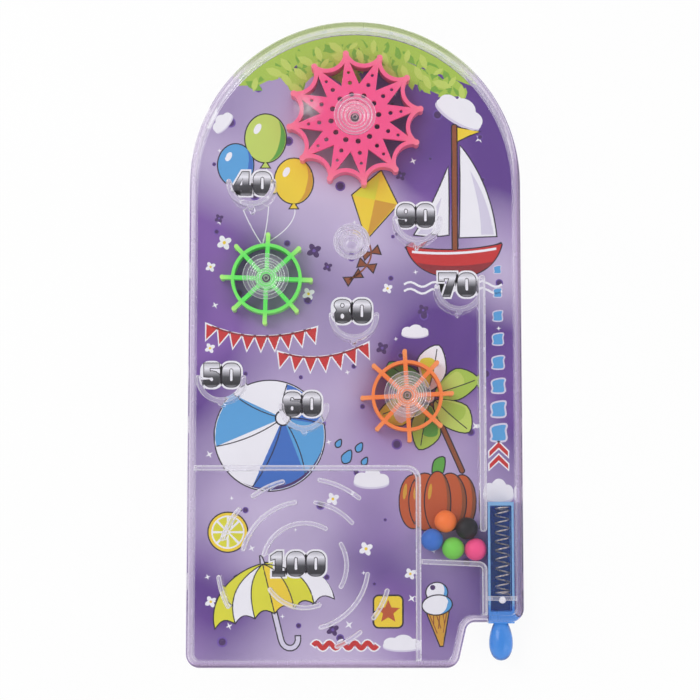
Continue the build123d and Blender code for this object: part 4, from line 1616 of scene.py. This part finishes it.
class PINBALL_OT_scattered_print(Operator):
    """Scatter bubbles and sparks over the card"""

    bl_idname = "pinball.scattered_print"
    bl_label = "Bubbles and sparks"

    def execute(self, context):
        region = card_outline(5)
        bubbles = {"spacing": 15, "seed": 11, "scales": (0.4, 1.25), "turns": (0, 0)}
        sparks = {"spacing": 17, "seed": 7, "scales": (0.5, 1.2), "turns": (0, 40)}
        scattered("bubble_rims", region, disc(3.2, 18), GROUND, "violet", **bubbles)
        scattered("bubble_cores", region, disc(2.2, 18), BACK, "plum", **bubbles)
        scattered("sparks", region, star(1.5, 4, 0.3), GROUND, "white", **sparks)
        return {"FINISHED"}


class PINBALL_OT_boughs(Operator):
    """Hang leafy boughs along the arch"""

    bl_idname = "pinball.boughs"
    bl_label = "Boughs"

    def execute(self, context):
        sheet = Sheet()
        sheet.add("leaf", GROUND, bough_region(0.2))
        printed("bough_bank", sheet)
        blade = [(3.2, 0), (1.2, 1.15), (-1.2, 1.2), (-3.0, 0), (-1.2, -1.2), (1.2, -1.15)]
        region, sizes, turns = bough_region(3.8), (0.7, 1.25), (-150, -10)
        for name, level, tint, spacing, seed in (
            ("bough_leaves_dark", BACK, "dark_leaf", 3.4, 3),
            ("bough_leaves", LINE, "leaf", 3.6, 8),
            ("bough_leaves_light", FILL, "light_leaf", 4.0, 21),
        ):
            scattered(name, region, blade, level, tint, spacing, seed, sizes, turns)
        return {"FINISHED"}


class PINBALL_OT_motifs(Operator):
    """Print the clouds, toys, fruit and flowers"""

    bl_idname = "pinball.motifs"
    bl_label = "Motifs"

    def execute(self, context):
        printed("sky_print", sky_sheet())
        printed("blossom_print", blossom_sheet())
        printed("upper_print", upper_sheet())
        printed("lower_print", lower_sheet())
        return {"FINISHED"}


class PINBALL_OT_rows(Operator):
    """Print the bunting, and the dashes and arrows of the lane"""

    bl_idname = "pinball.rows"
    bl_label = "Bunting and lane"

    def execute(self, context):
        flag = [(-2.1, 0), (2.1, 0), (0, -5.2)]
        for name, path, count in (
            ("bunting_left", ((-52.4, 6), (-36, -1), (-16, 5)), 9),
            ("bunting_right", ((-26, -4), (-12, -8), (3, -1)), 7),
        ):
            row(f"{name}_edges", grown(flag, 0.55), LINE, "white", path, count)
            row(f"{name}_flags", flag, FILL, "red", path, count)
            cord = Sheet()
            cord.stroke(bend(*path, 24), 0.6, MARK, "maroon")
            printed(f"{name}_cord", cord)
        lane = middle_of("spring_stop").x / MM
        path = ((lane, 27), (lane, -3), (lane, -33))
        dash = [(1.9, 0.4), (1.5, 1.7), (-0.6, 1.5), (-1.9, 1.7), (-1.7, -0.6), (-1.0, -1.7), (0.8, -1.4)]
        dash = smooth(dash + [(1.7, -1.6)], 4)
        row("lane_dash_edges", grown(dash, 0.45), LINE, "mist", path, 8, (0.7, 1.5))
        row("lane_dashes", dash, FILL, "sky", path, 8, (0.7, 1.5))
        printed("lane_print", lane_sheet(lane))
        return {"FINISHED"}


class PINBALL_OT_numerals(Operator):
    """Print the score numerals"""

    bl_idname = "pinball.numerals"
    bl_label = "Score numerals"

    def execute(self, context):
        printed("score_numerals", numeral_sheet(), numeral_ink())
        return {"FINISHED"}


class PINBALL_OT_stage(Operator):
    """Set the floor, the light and the camera"""

    bl_idname = "pinball.stage"
    bl_label = "Stage"

    def execute(self, context):
        scene = context.scene
        stage = scene.pinball_stage
        scene.view_settings.view_transform = "Standard"
        add_floor(stage)
        light_world(scene, stage)
        add_lamp("key lamp", (-0.66, 0.42, 0.82), stage.key)
        add_lamp("fill lamp", (0.72, -0.5, 0.75), stage.key * stage.fill)
        data = bpy.data.cameras.new("camera")
        data.lens = stage.lens
        data.sensor_width = SENSOR_WIDTH
        data.clip_start, data.clip_end = 0.01, 20
        camera = new_object("camera", data)
        camera.location = stage.camera
        camera.rotation_euler = (stage.tilt, 0, 0)
        scene.camera = camera
        return {"FINISHED"}


def view_rays(w):
    """1 for rays that the eye follows: straight, mirrored or through glass."""
    path = w.place("ShaderNodeLightPath").outputs
    mirrored = w.math("MAXIMUM", path["Is Glossy Ray"], path["Is Transmission Ray"])
    return w.math("MAXIMUM", path["Is Camera Ray"], mirrored)


def add_floor(stage):
    """A wide pale floor, near white to the eye, that keeps the object's shadow."""
    mesh = bpy.data.meshes.new("floor")
    signs = ((-1, -1), (1, -1), (1, 1), (-1, 1))
    spots = [(x * stage.floor_reach, y * stage.floor_reach, -stage.floor_drop) for x, y in signs]
    mesh.from_pydata(spots, [], [(0, 1, 2, 3)])
    material, w, surface = new_material("floor paper")
    grain = w.spread(w.noise(w.objects(), 0.05, 3.0), 0.3, 0.7)
    base = w.mix(grain, (0.84, 0.84, 0.84), (0.87, 0.87, 0.87))
    paper = w.out("ShaderNodeBsdfDiffuse", {"Color": base})
    white = w.out("ShaderNodeEmission", {"Color": (1, 1, 1), "Strength": 1.0})
    seen = w.math("MULTIPLY", view_rays(w), stage.floor_white)
    w.feed(surface, w.out("ShaderNodeMixShader", {0: seen, 1: paper, 2: white}))
    mesh.materials.append(material)
    new_object("floor", mesh)


def light_world(scene, stage):
    """Soft light from all round; white to the eye, dimmer overhead for reflections."""
    world = bpy.data.worlds.new("studio")
    world.use_nodes = True
    world.node_tree.nodes.clear()
    w = Wiring(world.node_tree)
    path = w.place("ShaderNodeLightPath").outputs
    up = w.split(w.place("ShaderNodeTexCoord").outputs["Generated"])["Z"]
    overhead = w.spread(up, 0.55, 0.95, 1.0, stage.ceiling)
    bounced = w.math("MAXIMUM", path["Is Glossy Ray"], path["Is Transmission Ray"])
    white = w.math("MAXIMUM", path["Is Camera Ray"], w.math("MULTIPLY", bounced, overhead))
    soft = w.math("MULTIPLY", w.math("SUBTRACT", 1.0, view_rays(w)), stage.ambient)
    strength = w.math("ADD", white, soft)
    back = w.out("ShaderNodeBackground", {"Color": (1, 1, 1), "Strength": strength})
    w.place("ShaderNodeOutputWorld", {"Surface": back})
    scene.world = world


def add_lamp(name, place, power):
    """A square soft lamp that faces the middle of the game."""
    data = bpy.data.lights.new(name, "AREA")
    data.energy = power
    data.size = LAMP_SIZE
    lamp = new_object(name, data)
    lamp.location = place
    lamp.rotation_euler = (-Vector(place)).to_track_quat("-Z", "Y").to_euler()


class PINBALL_PT_finish(Panel):
    """The steps of the finish, in their order"""

    bl_idname = "PINBALL_PT_finish"
    bl_label = "Pinball finish"
    bl_space_type = "VIEW_3D"
    bl_region_type = "UI"
    bl_category = "Pinball"

    def draw(self, context):
        for step in STEPS:
            self.layout.operator(step.bl_idname)


GROUPS = {
    "pinball_plastics": PinballPlastics,
    "pinball_print": PinballPrint,
    "pinball_spring": PinballSpring,
    "pinball_stage": PinballStage,
}
STEPS = (
    PINBALL_OT_clear_parts,
    PINBALL_OT_small_marks,
    PINBALL_OT_spinners,
    PINBALL_OT_plunger,
    PINBALL_OT_spring,
    PINBALL_OT_balls,
    PINBALL_OT_card,
    PINBALL_OT_scattered_print,
    PINBALL_OT_boughs,
    PINBALL_OT_motifs,
    PINBALL_OT_rows,
    PINBALL_OT_numerals,
    PINBALL_OT_stage,
)


def register():
    for cls in (*GROUPS.values(), *STEPS, PINBALL_PT_finish):
        bpy.utils.register_class(cls)
    for name, cls in GROUPS.items():
        setattr(bpy.types.Scene, name, PointerProperty(type=cls))


def unregister():
    for name in GROUPS:
        delattr(bpy.types.Scene, name)
    for cls in reversed((*GROUPS.values(), *STEPS, PINBALL_PT_finish)):
        bpy.utils.unregister_class(cls)


def main():
    register()
    for step in STEPS:
        family, action = step.bl_idname.split(".")
        getattr(getattr(bpy.ops, family), action)()
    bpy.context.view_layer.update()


if __name__ == "__main__":
    main()
